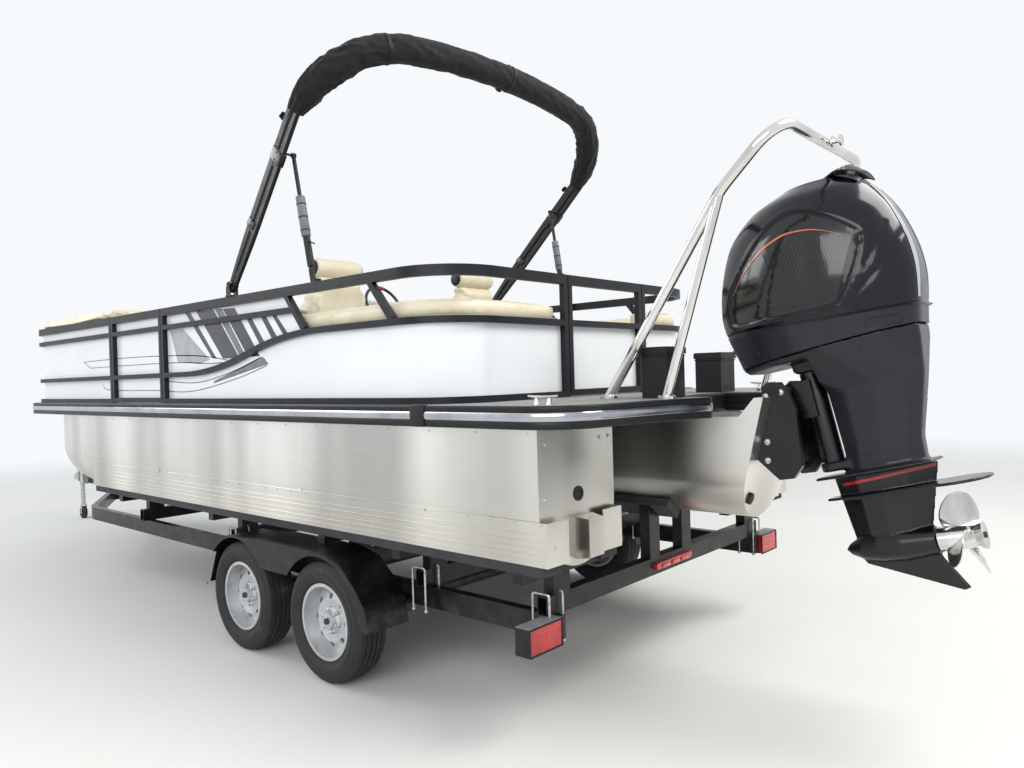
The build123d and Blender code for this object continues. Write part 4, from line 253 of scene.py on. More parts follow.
def fabric_finish(name, dark, light):
    f = Finish(name, Sheen_Weight=0.08, Sheen_Roughness=0.5, Specular_IOR_Level=0.3)
    weave = f.mixed(0.5, f.waves(210.0, "X", 0.6), f.waves(210.0, "Y", 0.6))
    patches = f.ramp(f.noise(7.0, 5.0), (0.3, dark), (0.7, light))
    f.colour(f.mixed(0.5, patches, f.ramp(weave, (0.2, dark), (0.8, light))))
    f.roughness(f.noise(30.0), 0.72, 0.88)
    f.bump(weave, 0.0003)
    return f


def rubber_finish(name):
    f = Finish(name)
    dust = f.noise(9.0, 6.0)
    f.colour(f.ramp(dust, (0.34, (26, 26, 27)), (0.62, (46, 44, 42)), (0.78, (84, 76, 66))))
    f.roughness(dust, 0.62, 0.86)
    f.bump(f.noise(260.0, 3.0), 0.0002)
    return f


def spangle_finish(name):
    f = Finish(name, 0.85)
    spangle = f.cells(46.0)
    f.colour(f.ramp(spangle, (0.1, (150, 153, 156)), (0.6, (200, 202, 204))))
    f.roughness(f.noise(12.0), 0.34, 0.56)
    f.bump(f.noise(120.0, 3.0), 0.0002)
    return f


def flake_finish(name, base, flake, rough, coat, metal, level):
    """Metallic gloss paint: fine flakes in a dark base under a clear coat."""
    f = Finish(name, metal, Coat_Weight=coat, Coat_Roughness=0.04, Specular_IOR_Level=level)
    f.colour(f.mixed(f.ranged(f.cells(2400.0), 0.5, 0.0, 0.05, 0.35), base, flake))
    f.roughness(f.noise(5.0), *rough)
    f.bump(f.noise(420.0, 2.0), 0.00003)
    return f


def dusty(name, dark, light, rough=(0.28, 0.45)):
    """Gloss black trailer paint with road dust low down."""
    f = Finish(name, Coat_Weight=0.1, Coat_Roughness=0.12, Specular_IOR_Level=0.3)
    tone = f.ramp(f.noise(5.0, 5.0), (0.3, dark), (0.7, light))
    amount = f.mixed(1.0, f.ramp(f.noise(14.0, 6.0), (0.45, (0, 0, 0)), (0.8, (255, 255, 255))),
                     f.ranged(f.height("Z"), 0.26, 0.03, 0.2, 0.75), "MULTIPLY")
    f.colour(f.mixed(amount, tone, (132, 120, 102)))
    f.roughness(f.noise(11.0, 4.0), *rough)
    f.bump(f.noise(300.0, 2.0), 0.00006)
    return f


SOOT = (34, 36, 40)
FINISHES = {f.name: f for f in (
    pontoon_finish("pontoon_metal"),
    deck_finish("deck_sheet"),
    brushed("beam_metal", (140, 141, 142), (186, 187, 188), "Y", (0.35, 0.5)),
    coated("rub_rail", (11, 12, 15), (20, 22, 26), (0.34, 0.46), Specular_IOR_Level=0.35),
    coated("fence_bar", (15, 17, 21), (26, 29, 34), (0.34, 0.46), Specular_IOR_Level=0.3),
    coated("fence_panel", (232, 234, 237), (241, 243, 245), (0.16, 0.22), wave_depth=0.0006, scale=1.2,
           Coat_Weight=0.4),
    coated("lounge_shell", (150, 144, 134), (170, 164, 153), (0.4, 0.55), grain=500.0, grain_depth=0.0002),
    vinyl_finish("cushion_vinyl", (214, 203, 176), (236, 227, 203)),
    coated("console_shell", (186, 178, 160), (206, 199, 182), (0.2, 0.34), Coat_Weight=0.5),
    coated("wheel_grip", (14, 15, 17), SOOT, (0.45, 0.6), grain=700.0, grain_depth=0.0002),
    brushed("pedestal", (150, 151, 152), (206, 207, 208), "Z", (0.2, 0.34)),
    brushed("arch_tube", (196, 194, 190), (232, 231, 228), "X", (0.05, 0.12), scale=5.0, depth=0.000002),
    coated("box_plastic", (13, 14, 17), (24, 26, 30), (0.42, 0.56), grain_depth=0.0001,
           Specular_IOR_Level=0.35),
    flake_finish("cowl_paint", (2, 4, 13), (8, 17, 44), (0.12, 0.2), 0.2, 0.0, 0.32),
    coated("engine", (70, 71, 73), (110, 111, 112), (0.5, 0.7), metal=0.6),
    flake_finish("leg_paint", (34, 36, 41), (66, 70, 78), (0.26, 0.38), 0.12, 0.2, 0.35),
    coated("motor_black", (6, 7, 9), (15, 16, 20), (0.22, 0.34), Coat_Weight=0.15, Specular_IOR_Level=0.4),
    brushed("propeller_steel", (176, 176, 174), (232, 232, 230), "Y", (0.12, 0.24), scale=9.0),
    coated("top_frame", (12, 14, 18), (22, 25, 30), (0.36, 0.48), Specular_IOR_Level=0.3),
    fabric_finish("boot_fabric", (10, 11, 13), (26, 28, 32)),
    dusty("trailer_paint", (7, 8, 9), (14, 15, 17)),
    fabric_finish("bunk_carpet", (30, 31, 34), (62, 63, 67)),
    dusty("axle_paint", SOOT, (58, 58, 60), (0.45, 0.6)),
    rubber_finish("tyre_rubber"),
    coated("rim_metal", (176, 178, 181), (206, 208, 210), (0.26, 0.4), metal=0.55, Coat_Weight=0.4),
    spangle_finish("zinc"),
    coated("jack_rubber", (32, 32, 33), (56, 54, 52), (0.6, 0.8)),
    coated("lamp", (150, 12, 16), (196, 22, 26), (0.1, 0.2), Coat_Weight=0.8, grain_depth=0.0),
)}
for part in frame["record"]["subparts"]:
    node = NODES[part["node"]]
    node.data.materials.clear()
    node.data.materials.append(FINISHES[part["material_slot"]].material)


# Mesh helpers

def linked(name, data):
    """New object in the scene."""
    made = bpy.data.objects.new(name, data)
    SCENE.collection.objects.link(made)
    return made


def dress(made, finish, body, smooth=True):
    """Gives an object its finish and shading, and the body it belongs to."""
    made.data.materials.clear()
    made.data.materials.append(finish.material)
    for polygon in made.data.polygons:
        polygon.use_smooth = smooth
    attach(made, body)


def piece(name, bm, slot, finish=None, body=ROOT, smooth=True):
    """Object made of a bmesh, riding on a body, in its slot's own finish or another."""
    mesh = bpy.data.meshes.new(name)
    bm.to_mesh(mesh)
    bm.free()
    made = linked(name, mesh)
    dress(made, finish or FINISHES[slot], body, smooth)
    if smooth:
        mesh.set_sharp_from_angle(angle=radians(38))
    return made


def face_out(bm):
    """Turns all faces outwards."""
    bmesh.ops.recalc_face_normals(bm, faces=bm.faces)


def skin(bm, rings, closed=False, foot=True):
    """Faces between rings of vertices, and over the two ends where the rings don't close on themselves."""
    for low, high in zip(rings, rings[1:] + rings[:1] if closed else rings[1:]):
        for k in range(len(low)):
            j = (k + 1) % len(low)
            bm.faces.new((low[k], low[j], high[j], high[k]))
    if not closed:
        if foot:
            bm.faces.new(rings[0][::-1])
        bm.faces.new(rings[-1])


def across(axis):
    """An axis as a unit vector, and two unit vectors square to it."""
    axis = Vector(axis).normalized()
    side = axis.orthogonal().normalized()
    return axis, side, axis.cross(side)


def turned(bm, origin, axis, profile, sides):
    """Turned form: rings of (radius, height) along an axis; a radius of 0 closes it."""
    axis, side, other = across(axis)
    rings = []
    for radius, height in profile:
        centre = origin + axis * height
        if radius == 0:
            rings.append([bm.verts.new(centre)])
        else:
            turns = [2 * pi * i / sides for i in range(sides)]
            rings.append([bm.verts.new(centre + (side * cos(t) + other * sin(t)) * radius) for t in turns])
    for low, high in zip(rings, rings[1:]):
        for i in range(sides):
            j = (i + 1) % sides
            corners = [low[i % len(low)], low[j % len(low)], high[j % len(high)], high[i % len(high)]]
            bm.faces.new(list(dict.fromkeys(corners)))


def disc(bm, origin, axis, radius, height, sides=14):
    """Closed cylinder along an axis."""
    turned(bm, origin, axis, ((0, 0), (radius, 0), (radius, height), (0, height)), sides)


def rod(bm, start, end, radius):
    disc(bm, start, end - start, radius, (end - start).length, 8)


def screw(bm, origin, axis, radius, height=None):
    """Domed fastener head on its washer."""
    height = height or radius * 0.7
    turned(bm, origin, axis, ((radius * 1.35, 0), (radius * 1.35, height * 0.2), (radius, height * 0.25),
                              (radius * 0.86, height * 0.75), (radius * 0.5, height), (0, height)), 12)


def slab(bm, centre, x, y, z, bevel):
    """Box from its centre and three half edges as vectors, with rounded edges."""
    made = bmesh.ops.create_cube(bm, size=2.0)["verts"]
    place = Matrix((tuple(x) + (0,), tuple(y) + (0,), tuple(z) + (0,), (0, 0, 0, 1))).transposed()
    bmesh.ops.transform(bm, matrix=Matrix.Translation(centre) @ place, verts=made)
    edges = list({e for v in made for e in v.link_edges})
    bmesh.ops.bevel(bm, geom=edges, offset=bevel, segments=3, profile=0.5, affect="EDGES")


def prism(bm, outline, depth):
    """Plate: an outline of points moved by the depth vector."""
    low = [bm.verts.new(p) for p in outline]
    high = [bm.verts.new(p + depth) for p in outline]
    skin(bm, [high, low])


def smooth_line(points, steps, closed=False):
    """Catmull-Rom curve through points."""
    points = [Vector(p) for p in points]
    count = len(points)
    line = []
    for i in range(count if closed else count - 1):
        a, b, c, d = (points[(i + k) % count] if closed else points[min(max(i + k, 0), count - 1)]
                      for k in (-1, 0, 1, 2))
        for s in range(steps):
            t = s / steps
            line.append(0.5 * (2 * b + (c - a) * t + (2 * a - 5 * b + 4 * c - d) * t ** 2
                               + (3 * b - a - 3 * c + d) * t ** 3))
    if not closed:
        line.append(points[-1])
    return line


def flat_line(points, steps, closed=False):
    """Catmull-Rom curve through (u, w) points, with its third coordinate 0."""
    return smooth_line([(u, w, 0) for u, w in points], steps, closed)


def heading(line, i):
    """Unit direction of an open line at its point i."""
    return (line[min(i + 1, len(line) - 1)] - line[max(i - 1, 0)]).normalized()


def pipe(bm, line, radius, sides, closed=False):
    """Tube along a line; radius is a number or a function of the share of the way."""
    count = len(line)
    side = None
    rings = []
    for i, p in enumerate(line):
        ahead = line[(i + 1) % count] if closed else line[min(i + 1, count - 1)]
        behind = line[i - 1] if closed else line[max(i - 1, 0)]
        axis = (ahead - behind).normalized()
        side = (axis.orthogonal() if side is None else side - axis * side.dot(axis)).normalized()
        other = axis.cross(side)
        r = radius(i / (count - 1)) if callable(radius) else radius
        turns = [2 * pi * k / sides for k in range(sides)]
        rings.append([bm.verts.new(p + (side * cos(t) + other * sin(t)) * r) for t in turns])
    skin(bm, rings, closed)


# Cushions

VOXEL = 0.012
SHRINK = 0.003                    # drawn in by this before the pressure
SWELL_CAP, QUICK_SWELL = 0.024, 0.006
PRESSURE, CLOTH_FRAMES = 4.0, 20
FLOOR_SLACK = 0.002
CHAIR_ROUNDS, LOUNGE_ROUNDS = 30, 6
NECK_LOW, NECK_HIGH = 2.20, 2.36      # heights on a chair's back
NECK_IN, NECK_DOWN = 0.30, 0.38
SEAT_STEP, SEAT_DEPTH = 0.52, 0.2
SEWN_DEPTH, SEWN_WIDTH = 0.012, 0.014


def solids_of(node):
    """The separate solids of a CAD node, as (vertices, faces) with welded seams."""
    bm = bmesh.new()
    bm.from_mesh(NODES[node].data)
    bmesh.ops.remove_doubles(bm, verts=bm.verts, dist=1e-5)
    left = set(bm.verts)
    found = []
    while left:
        stack = [left.pop()]
        group = []
        while stack:
            v = stack.pop()
            group.append(v)
            for e in v.link_edges:
                w = e.other_vert(v)
                if w in left:
                    left.remove(w)
                    stack.append(w)
        number = {v: i for i, v in enumerate(group)}
        faces = [[number[v] for v in f.verts] for f in {f for v in group for f in v.link_faces}]
        found.append(([v.co.copy() for v in group], faces))
    bm.free()
    found.sort(key=lambda s: (round(min(v.y for v in s[0]), 2), round(min(v.z for v in s[0]), 2)))
    return found


def coordinates(mesh):
    flat = np.zeros(len(mesh.vertices) * 3)
    mesh.vertices.foreach_get("co", flat)
    return flat.reshape(-1, 3)


def write_coordinates(mesh, points):
    mesh.vertices.foreach_set("co", points.astype(np.float32).ravel())
    mesh.update()


def smoothstep(x):
    x = np.clip(x, 0.0, 1.0)
    return x * x * (3 - 2 * x)


def evaluated(made):
    graph = bpy.context.evaluated_depsgraph_get()
    return bpy.data.meshes.new_from_object(made.evaluated_get(graph))


def apply_modifiers(made):
    made.data = evaluated(made)
    made.modifiers.clear()


def remesh_round(made, voxel, rounds):
    """Remakes a mesh in voxels and rounds its edges off."""
    remesh = made.modifiers.new("remesh", "REMESH")
    remesh.mode = "VOXEL"
    remesh.voxel_size = voxel
    soften = made.modifiers.new("soften", "SMOOTH")
    soften.factor = 0.5
    soften.iterations = rounds
    apply_modifiers(made)


def necked(points):
    """A chair's back with its shoulders drawn in and its top lowered, so that the bolster stands proud."""
    middle = (points[:, 1].min() + points[:, 1].max()) / 2
    share = smoothstep((points[:, 2] - NECK_LOW) / (NECK_HIGH - NECK_LOW))
    points[:, 1] = middle + (points[:, 1] - middle) * (1 - NECK_IN * share)
    points[:, 2] -= NECK_DOWN * np.maximum(points[:, 2] - NECK_LOW, 0)
    return points


def stuff(named_solids):
    """Cushions from solids: remeshed, shrunk, blown up by cloth pressure, and kept within a cap."""
    pads = []
    for name, (points, faces) in named_solids:
        mesh = bpy.data.meshes.new(name)
        mesh.from_pydata(points, [], faces)
        made = linked(name, mesh)
        remesh_round(made, VOXEL, CHAIR_ROUNDS if "chair" in name else LOUNGE_ROUNDS)
        normals = np.array([v.normal for v in made.data.vertices])
        rest = coordinates(made.data) - normals * SHRINK
        if "chair" in name:
            rest = necked(rest)
        write_coordinates(made.data, rest)
        pads.append((made, rest, normals))
    for made, _, _ in pads:
        cloth = made.modifiers.new("cloth", "CLOTH")
        cloth.settings.use_pressure = True
        cloth.settings.uniform_pressure_force = PRESSURE
        cloth.settings.effector_weights.gravity = 0
        cloth.settings.quality = 4
        cloth.point_cache.frame_start = 1
        cloth.point_cache.frame_end = CLOTH_FRAMES
    for number in range(1, CLOTH_FRAMES + 1):
        SCENE.frame_set(number)
    for made, rest, normals in pads:
        moved = coordinates(evaluated(made)) - rest
        made.modifiers.clear()
        reach = np.linalg.norm(moved, axis=1, keepdims=True)
        moved *= np.minimum(1.0, SWELL_CAP / np.maximum(reach, 1e-9))
        points = rest + moved
        points[:, 2] = np.maximum(points[:, 2], rest[:, 2].min() - FLOOR_SLACK)
        write_coordinates(made.data, points)
    SCENE.frame_set(1)
    return [made for made, _, _ in pads]


def sew(made, place):
    """Sewn channel across the cushion at a place along x."""
    points = coordinates(made.data)
    normals = np.array([v.normal for v in made.data.vertices])
    away = points[:, 0] - place
    points -= normals * (SEWN_DEPTH * np.exp(-(away / SEWN_WIDTH) ** 2))[:, None]
    write_coordinates(made.data, points)


def upholster(made, body, node, slot="cushion_vinyl"):
    soften = made.modifiers.new("round", "CORRECTIVE_SMOOTH")
    soften.iterations = 4
    apply_modifiers(made)
    dress(made, FINISHES[slot], body)
    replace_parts(made, node)


SOFT_NODES = (("bow_lounge_cushions", ROOT), ("aft_lounge_cushions", ROOT), ("helm_chair", "helm_seat"),
              ("companion_chair", "companion_seat"))
named = [((f"{node}_{number + 1}", solid), node, body) for node, body in SOFT_NODES
         for number, solid in enumerate(solids_of(node))]
for made, (_, node, body) in zip(stuff([solid for solid, _, _ in named]), named):
    low, high = (np.array(f(coordinates(made.data), axis=0)) for f in (np.min, np.max))
    if high[2] - low[2] < SEAT_DEPTH:
        seats = round((high[0] - low[0]) / SEAT_STEP)
        for k in range(1, seats):
            sew(made, low[0] + k * (high[0] - low[0]) / seats)
    upholster(made, body, node)


# Stripes on the port side

PANEL_Y = 1.201
DECAL = 0.0007        # the stripes stand this far off the panel
SWEEP_WIDTH = 0.007
SIDE_GATE_AFT, SIDE_GATE_BOW = 2.98, 3.88


def sheen_strip(name, dark, light):
    f = Finish(name, Coat_Weight=0.5)
    f.colour(f.ramp(f.noise(11.0), (0.25, dark), (0.75, light)))
    f.roughness(f.noise(8.0), 0.2, 0.3)
    f.bump(f.noise(2.2, 2.0), 0.002)
    return f


STRIPE_DARK = sheen_strip("stripe_dark", (24, 26, 30), (46, 50, 56))
STRIPE_GREY = sheen_strip("stripe_grey", (86, 90, 96), (116, 120, 126))
STRIPE_PALE = sheen_strip("stripe_pale", (150, 155, 160), (172, 176, 181))

# Outlines on the panel as (x, z); the slats lean with their tops aft
DECALS = (
    ("slat_a", STRIPE_DARK, ((2.66, 2.136), (2.585, 2.134), (2.235, 1.800), (2.30, 1.812))),
    ("slat_b", STRIPE_DARK, ((2.50, 2.136), (2.262, 2.133), (1.945, 1.800), (2.155, 1.800))),
    ("slat_c", STRIPE_DARK, ((2.138, 2.126), (1.986, 2.121), (1.70, 1.800), (1.84, 1.800))),
    ("slat_d", STRIPE_DARK, ((1.858, 2.060), (1.80, 2.060), (1.62, 1.860), (1.672, 1.845))),
    ("slat_e", STRIPE_DARK, ((1.681, 2.050), (1.625, 2.050), (1.478, 1.885), (1.533, 1.872))),
    ("slat_f", STRIPE_DARK, ((1.550, 2.045), (1.508, 2.045), (1.362, 1.905), (1.410, 1.895))),
    ("slat_glow", STRIPE_GREY, ((2.245, 2.133), (2.150, 2.130), (1.86, 1.800), (1.932, 1.800))),
    ("halftone", STRIPE_PALE, ((2.90, 2.03), (2.70, 2.03), (2.33, 1.80), (2.47, 1.775), (2.80, 1.80))),
    ("sweep_wedge", STRIPE_GREY,
     ((2.287, 1.655), (1.689, 1.795), (1.655, 1.790), (1.600, 1.748), (1.690, 1.735), (2.287, 1.640))),
)


def panel_line(name, points, finish):
    """Thin line on the panel through (x, z) points; its stretch on the side gate goes with the gate."""
    line = smooth_line([(x, 0, z) for x, z in points], 36)
    stretches = {ROOT: (name, bmesh.new()), "side_gate": (name + "_gate", bmesh.new())}
    pairs = []
    for i, p in enumerate(line):
        along = heading(line, i)
        side = Vector((-along.z, 0, along.x)) * SWEEP_WIDTH / 2
        pairs.append([ship(q.x, PANEL_Y + DECAL, q.z) for q in (p - side, p + side)])
    for p, q, a, b in zip(line, line[1:], pairs, pairs[1:]):
        on_gate = SIDE_GATE_AFT < (p.x + q.x) / 2 < SIDE_GATE_BOW
        bm = stretches["side_gate" if on_gate else ROOT][1]
        bm.faces.new([bm.verts.new(point) for point in (a[0], a[1], b[1], b[0])])
    for body, (part_name, bm) in stretches.items():
        if bm.faces:
            bmesh.ops.remove_doubles(bm, verts=bm.verts, dist=1e-6)
            piece(part_name, bm, "fence_panel", finish, body, smooth=False)


for name, finish, outline in DECALS:
    plate = bmesh.new()
    prism(plate, [ship(x, PANEL_Y, z) for x, z in outline], Vector((0, DECAL, 0)))
    piece(name, plate, "fence_panel", finish, smooth=False)
SWEEP_LINES = (
    ((4.55, 1.855), (3.60, 1.860), (2.80, 1.845), (2.40, 1.825), (2.10, 1.79)),
    ((4.40, 1.800), (3.60, 1.800), (2.80, 1.795), (2.35, 1.775), (2.15, 1.775)),
    ((4.55, 1.855), (4.47, 1.825), (4.40, 1.800)),
    ((4.15, 1.655), (4.00, 1.610), (3.20, 1.600), (2.60, 1.590), (2.00, 1.665), (1.62, 1.740)),
    ((3.00, 1.668), (2.50, 1.650), (2.00, 1.720), (1.70, 1.790)),
)
for number, points in enumerate(SWEEP_LINES):
    panel_line(f"sweep_line_{number + 1}", points, STRIPE_GREY)

# Lines and patches on a surface

def tree_of(*objects):
    """Search tree over meshes in the row frame."""
    points, faces = [], []
    for made in objects:
        start = len(points)
        points += [made.matrix_world @ v.co for v in made.data.vertices]
        faces += [[start + i for i in p.vertices] for p in made.data.polygons]
    return BVHTree.FromPolygons(points, faces)


def touched(tree, point, ahead):
    """Surface point and normal met from a point along a direction, or None."""
    ahead = Vector(ahead).normalized()
    spot, normal, _, _ = tree.ray_cast(point, ahead)
    if spot is None:
        return None
    return spot, (normal if normal.dot(ahead) < 0 else -normal)


def lifted(met, lift):
    """A met place moved off its surface, or None."""
    return met[0] + met[1] * lift if met else None


def motor_spot(tree, u, w, side, lift):
    return lifted(touched(tree, motor(u, w, side * 0.6), (0, -side, 0)), lift)


def bolt_on(bm, met, radius):
    """Screw head let a little into the surface at a met place, if there is one."""
    if met:
        screw(bm, lifted(met, -0.001), met[1], radius)


def strip(bm, rows):
    """Band of quads between rows of points; a row that misses the surface is left out."""
    rows = [[bm.verts.new(p) for p in row] for row in rows if None not in row]
    for a, b in zip(rows, rows[1:]):
        for i in range(len(a) - 1):
            bm.faces.new((a[i], a[i + 1], b[i + 1], b[i]))


def motor_band(bm, tree, points, width, side, lift=0.0012):
    """Flat band on the motor's side along (u, w) points; width may be a function of the share of the way."""
    line = flat_line(points, 8)
    rows = []
    for i, p in enumerate(line):
        along = heading(line, i)
        wide = width(i / (len(line) - 1)) if callable(width) else width
        off = Vector((-along.y, along.x, 0)) * wide / 2
        rows.append([motor_spot(tree, q.x, q.y, side, lift) for q in (p - off, p, p + off)])
    strip(bm, rows)


def motor_bead(bm, tree, points, radius, side, closed=False, sink=0.0):
    """Round bead lying on the motor's side."""
    spots = [motor_spot(tree, p.x, p.y, side, -sink) for p in flat_line(points, 8, closed)]
    pipe(bm, [s for s in spots if s], radius, 8, closed)


def motor_patch(bm, tree, top, low, side, rows):
    """Patch on the motor's side between a top and a low line of (u, w) points."""
    a, b = flat_line(top, 6), flat_line(low, 6)
    grid = []
    for k in range(rows + 1):
        row = []
        for i in range(61):
            p = a[round(i / 60 * (len(a) - 1))].lerp(b[round(i / 60 * (len(b) - 1))], k / rows)
            row.append(motor_spot(tree, p.x, p.y, side, 0.0015))
        grid.append(row)
    if all(p for row in grid for p in row):
        strip(bm, grid)


# Outboard motor

MOTOR = "motor_steer"
COWL = ((0.150, 0.170, -0.664, 0.245), (0.420, 0.205, -0.716, 0.285), (0.700, 0.098, -0.682, 0.265),
        (0.850, -0.062, -0.622, 0.205), (0.925, -0.225, -0.560, 0.120))
CROWN_SLOPE = 0.13        # the crown drops towards the rear
CROWN = 0.012             # and rises this much over its last ring
LIP_MIDDLE, SEAM_GAP = -0.26, 0.003
SEAM = ((-0.74, 0.229), (-0.646, 0.233), (-0.495, 0.245), (-0.295, 0.265), (-0.093, 0.290), (0.147, 0.330),
        (0.19, 0.335))
RECESS = ((0.11, 0.489), (0.035, 0.570), (-0.035, 0.645), (-0.174, 0.743), (-0.312, 0.773),
          (-0.46, 0.696), (-0.559, 0.603), (-0.563, 0.557), (-0.527, 0.457), (-0.462, 0.344),
          (-0.411, 0.300), (-0.302, 0.302), (-0.099, 0.322), (0.124, 0.360))
CREASES = (((-0.705, 0.55), (-0.629, 0.433), (-0.522, 0.348), (-0.436, 0.289)),
           ((-0.655, 0.60), (-0.60, 0.50), (-0.56, 0.44)))


def eased(table, height):
    """Values of a table (height, values...) at a height, on a smooth curve through its rows."""
    heights = [row[0] for row in table]
    i = min(max(int(np.searchsorted(heights, height)) - 1, 0), len(table) - 2)
    a, b, c, d = (np.array(table[min(max(i + k, 0), len(table) - 1)]) for k in (-1, 0, 1, 2))
    span = c[0] - b[0]
    t = (height - b[0]) / span
    first = (c - a) / (c[0] - a[0]) * span
    last = (d - b) / (d[0] - b[0]) * span
    done = ((2 * t ** 3 - 3 * t ** 2 + 1) * b + (t ** 3 - 2 * t ** 2 + t) * first
            + (3 * t ** 2 - 2 * t ** 3) * c + (t ** 3 - t ** 2) * last)
    return done[1:]


def arc_points(a, b, c, count):
    """Points of the circle through three points, from a to c."""
    ax, ay, bx, by, cx, cy = *a, *b, *c
    d = 2 * (ax * (by - cy) + bx * (cy - ay) + cx * (ay - by))
    aa, bb, cc = ax * ax + ay * ay, bx * bx + by * by, cx * cx + cy * cy
    ox = (aa * (by - cy) + bb * (cy - ay) + cc * (ay - by)) / d
    oy = (aa * (cx - bx) + bb * (ax - cx) + cc * (bx - ax)) / d
    r = ((ax - ox) ** 2 + (ay - oy) ** 2) ** 0.5
    angles = np.unwrap([atan2(y - oy, x - ox) for x, y in (a, b, c)])
    return [(ox + r * cos(t), oy + r * sin(t)) for t in np.linspace(angles[0], angles[2], count)]


RING = 144


def cowl_ring(front, back, half):
    """Plan of the shell at one height: RING points (u, y) around it from the front, soft at its corners."""
    long = front - back
    tip = 0.42 * half
    swell = (back + 0.42 * long, half)
    turn = back + 0.12 * long
    side = [(front, 0.0), (front, tip * 0.5)]
    side += arc_points((front, tip), (front - 0.22 * long, 0.86 * half), swell, 24)
    side += arc_points(swell, (turn + 0.1 * (swell[0] - turn), 0.82 * half), (back, 0.36 * half), 24)[1:]
    side += [(back, 0.18 * half), (back, 0.0)]
    line = np.array(side + [(u, -y) for u, y in side[-2:0:-1]])
    steps = np.linalg.norm(np.roll(line, -1, axis=0) - line, axis=1)
    reach = np.concatenate(([0.0], np.cumsum(steps)))
    loop = np.vstack((line, line[:1]))
    at = np.linspace(0.0, reach[-1], RING, endpoint=False)
    even = np.stack([np.interp(at, reach, loop[:, k]) for k in (0, 1)], axis=1)
    for _ in range(5):
        even = 0.5 * even + 0.25 * (np.roll(even, 1, axis=0) + np.roll(even, -1, axis=0))
    return even


def nearest(points, a, b):
    """Least distance of (u, w) points to the stretches from a to b."""
    p = points[:, None, :]
    ab = b - a
    t = np.clip(((p - a) * ab).sum(2) / (ab ** 2).sum(1), 0.0, 1.0)
    return np.linalg.norm(p - (a + ab * t[..., None]), axis=2).min(1)


def to_outline(points, outline):
    """Distance of (u, w) points to a closed outline, positive inside."""
    a = np.array(outline)
    b = np.roll(a, -1, axis=0)
    p = points[:, None, :]
    near = nearest(points, a, b)
    crossing = (a[:, 1] > p[..., 1]) != (b[:, 1] > p[..., 1])
    with np.errstate(divide="ignore", invalid="ignore"):
        reach = (b[:, 0] - a[:, 0]) * (p[..., 1] - a[:, 1]) / (b[:, 1] - a[:, 1]) + a[:, 0]
    inside = (crossing & (p[..., 0] < reach)).sum(1) % 2 == 1
    return np.where(inside, near, -near)


RECESS_LINE = [(p.x, p.y) for p in flat_line(RECESS, 6, True)]


def sculpted(u, y, w):
    """Cowl points pushed in for the side recess and the creases; the push is along y."""
    spots = np.stack((u, w), axis=1)
    inside = to_outline(spots, RECESS_LINE)
    push = 0.011 * smoothstep(inside / 0.016) - 0.004 * np.exp(-((inside + 0.012) / 0.009) ** 2)
    for crease in CREASES:
        away = nearest(spots, np.array(crease[:-1]), np.array(crease[1:]))
        push += 0.006 * np.exp(-(away / 0.007) ** 2)
    return y - np.sign(y) * push * smoothstep(np.abs(y) / 0.06)


def lip(u, y, w):
    """A ring of the cowl drawn in, for the lip along the seam."""
    return (u - (u - LIP_MIDDLE) * 0.025, y * 0.965, w)


def shell_mesh(levels, height_at, name, slot, crowned):
    """Closed rings of the cowl between two heights that may slope along u; the crowned one is sculpted."""
    rings = []
    for level in levels:
        w = np.full(RING, height_at(level, 0.0))
        for _ in range(4 if level < 1 else 1):
            if level < 1:
                ring = np.array([cowl_ring(*eased(COWL, x))[k] for k, x in enumerate(w)])
            else:
                ring = cowl_ring(*eased(COWL, w[0]))
            w = np.array([height_at(level, u) for u in ring[:, 0]])
        u, y = ring[:, 0], ring[:, 1]
        if crowned:
            w = w + CROWN_SLOPE * (u + 0.24) * smoothstep((w - 0.45) / 0.5)
            y = sculpted(u, y, w)
        rings.append((u, y, w))
    if crowned:
        rings.insert(0, lip(*rings[0]))
        u, y, w = rings[-1]
        middle = u.mean()
        for k in range(1, 9):
            t = k / 9 * pi / 2
            rings.append((middle + (u - middle) * cos(t), y * cos(t), w + CROWN * sin(t)))
    else:
        rings.append(lip(*rings[-1]))
    bm = bmesh.new()
    rings = [[bm.verts.new(motor(float(a), float(c), float(b))) for a, b, c in zip(*ring)] for ring in rings]
    skin(bm, rings, foot=not crowned)
    face_out(bm)
    return piece(name, bm, slot, body=MOTOR)


def seam_height(u):
    return float(np.interp(u, [p[0] for p in SEAM], [p[1] for p in SEAM]))


def shell_height(level, u):
    low = seam_height(u) + SEAM_GAP
    return low + (COWL[-1][0] - low) * level


def pan_height(level, u):
    return COWL[0][0] + (seam_height(u) - SEAM_GAP - COWL[0][0]) * level


cowl_shell = shell_mesh(np.linspace(0, 1, 70), shell_height, "cowl_shell", "cowl_paint", True)
cowl_pan = shell_mesh(np.linspace(0, 1, 16), pan_height, "cowl_pan", "leg_paint", False)
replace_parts(cowl_shell, "cowl")


def softened(node, voxel, rounds, slot):
    """Cast part of the motor: the CAD node's own mesh with its edges rounded off."""
    mesh = bpy.data.meshes.new(node + "_cast")
    source = NODES[node]
    bm = bmesh.new()
    bm.from_mesh(source.data)
    bm.transform(source.matrix_world)
    bmesh.ops.remove_doubles(bm, verts=bm.verts, dist=1e-5)
    bm.to_mesh(mesh)
    bm.free()
    made = linked(node + "_cast", mesh)
    remesh_round(made, voxel, rounds)
    dress(made, FINISHES[slot], MOTOR)
    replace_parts(made, node)
    return made


leg = softened("midsection", 0.007, 14, "leg_paint")
gear = softened("gearcase", 0.0045, 4, "motor_black")
cowl_tree = tree_of(cowl_shell, cowl_pan)
leg_tree = tree_of(leg)
gear_tree = tree_of(gear)

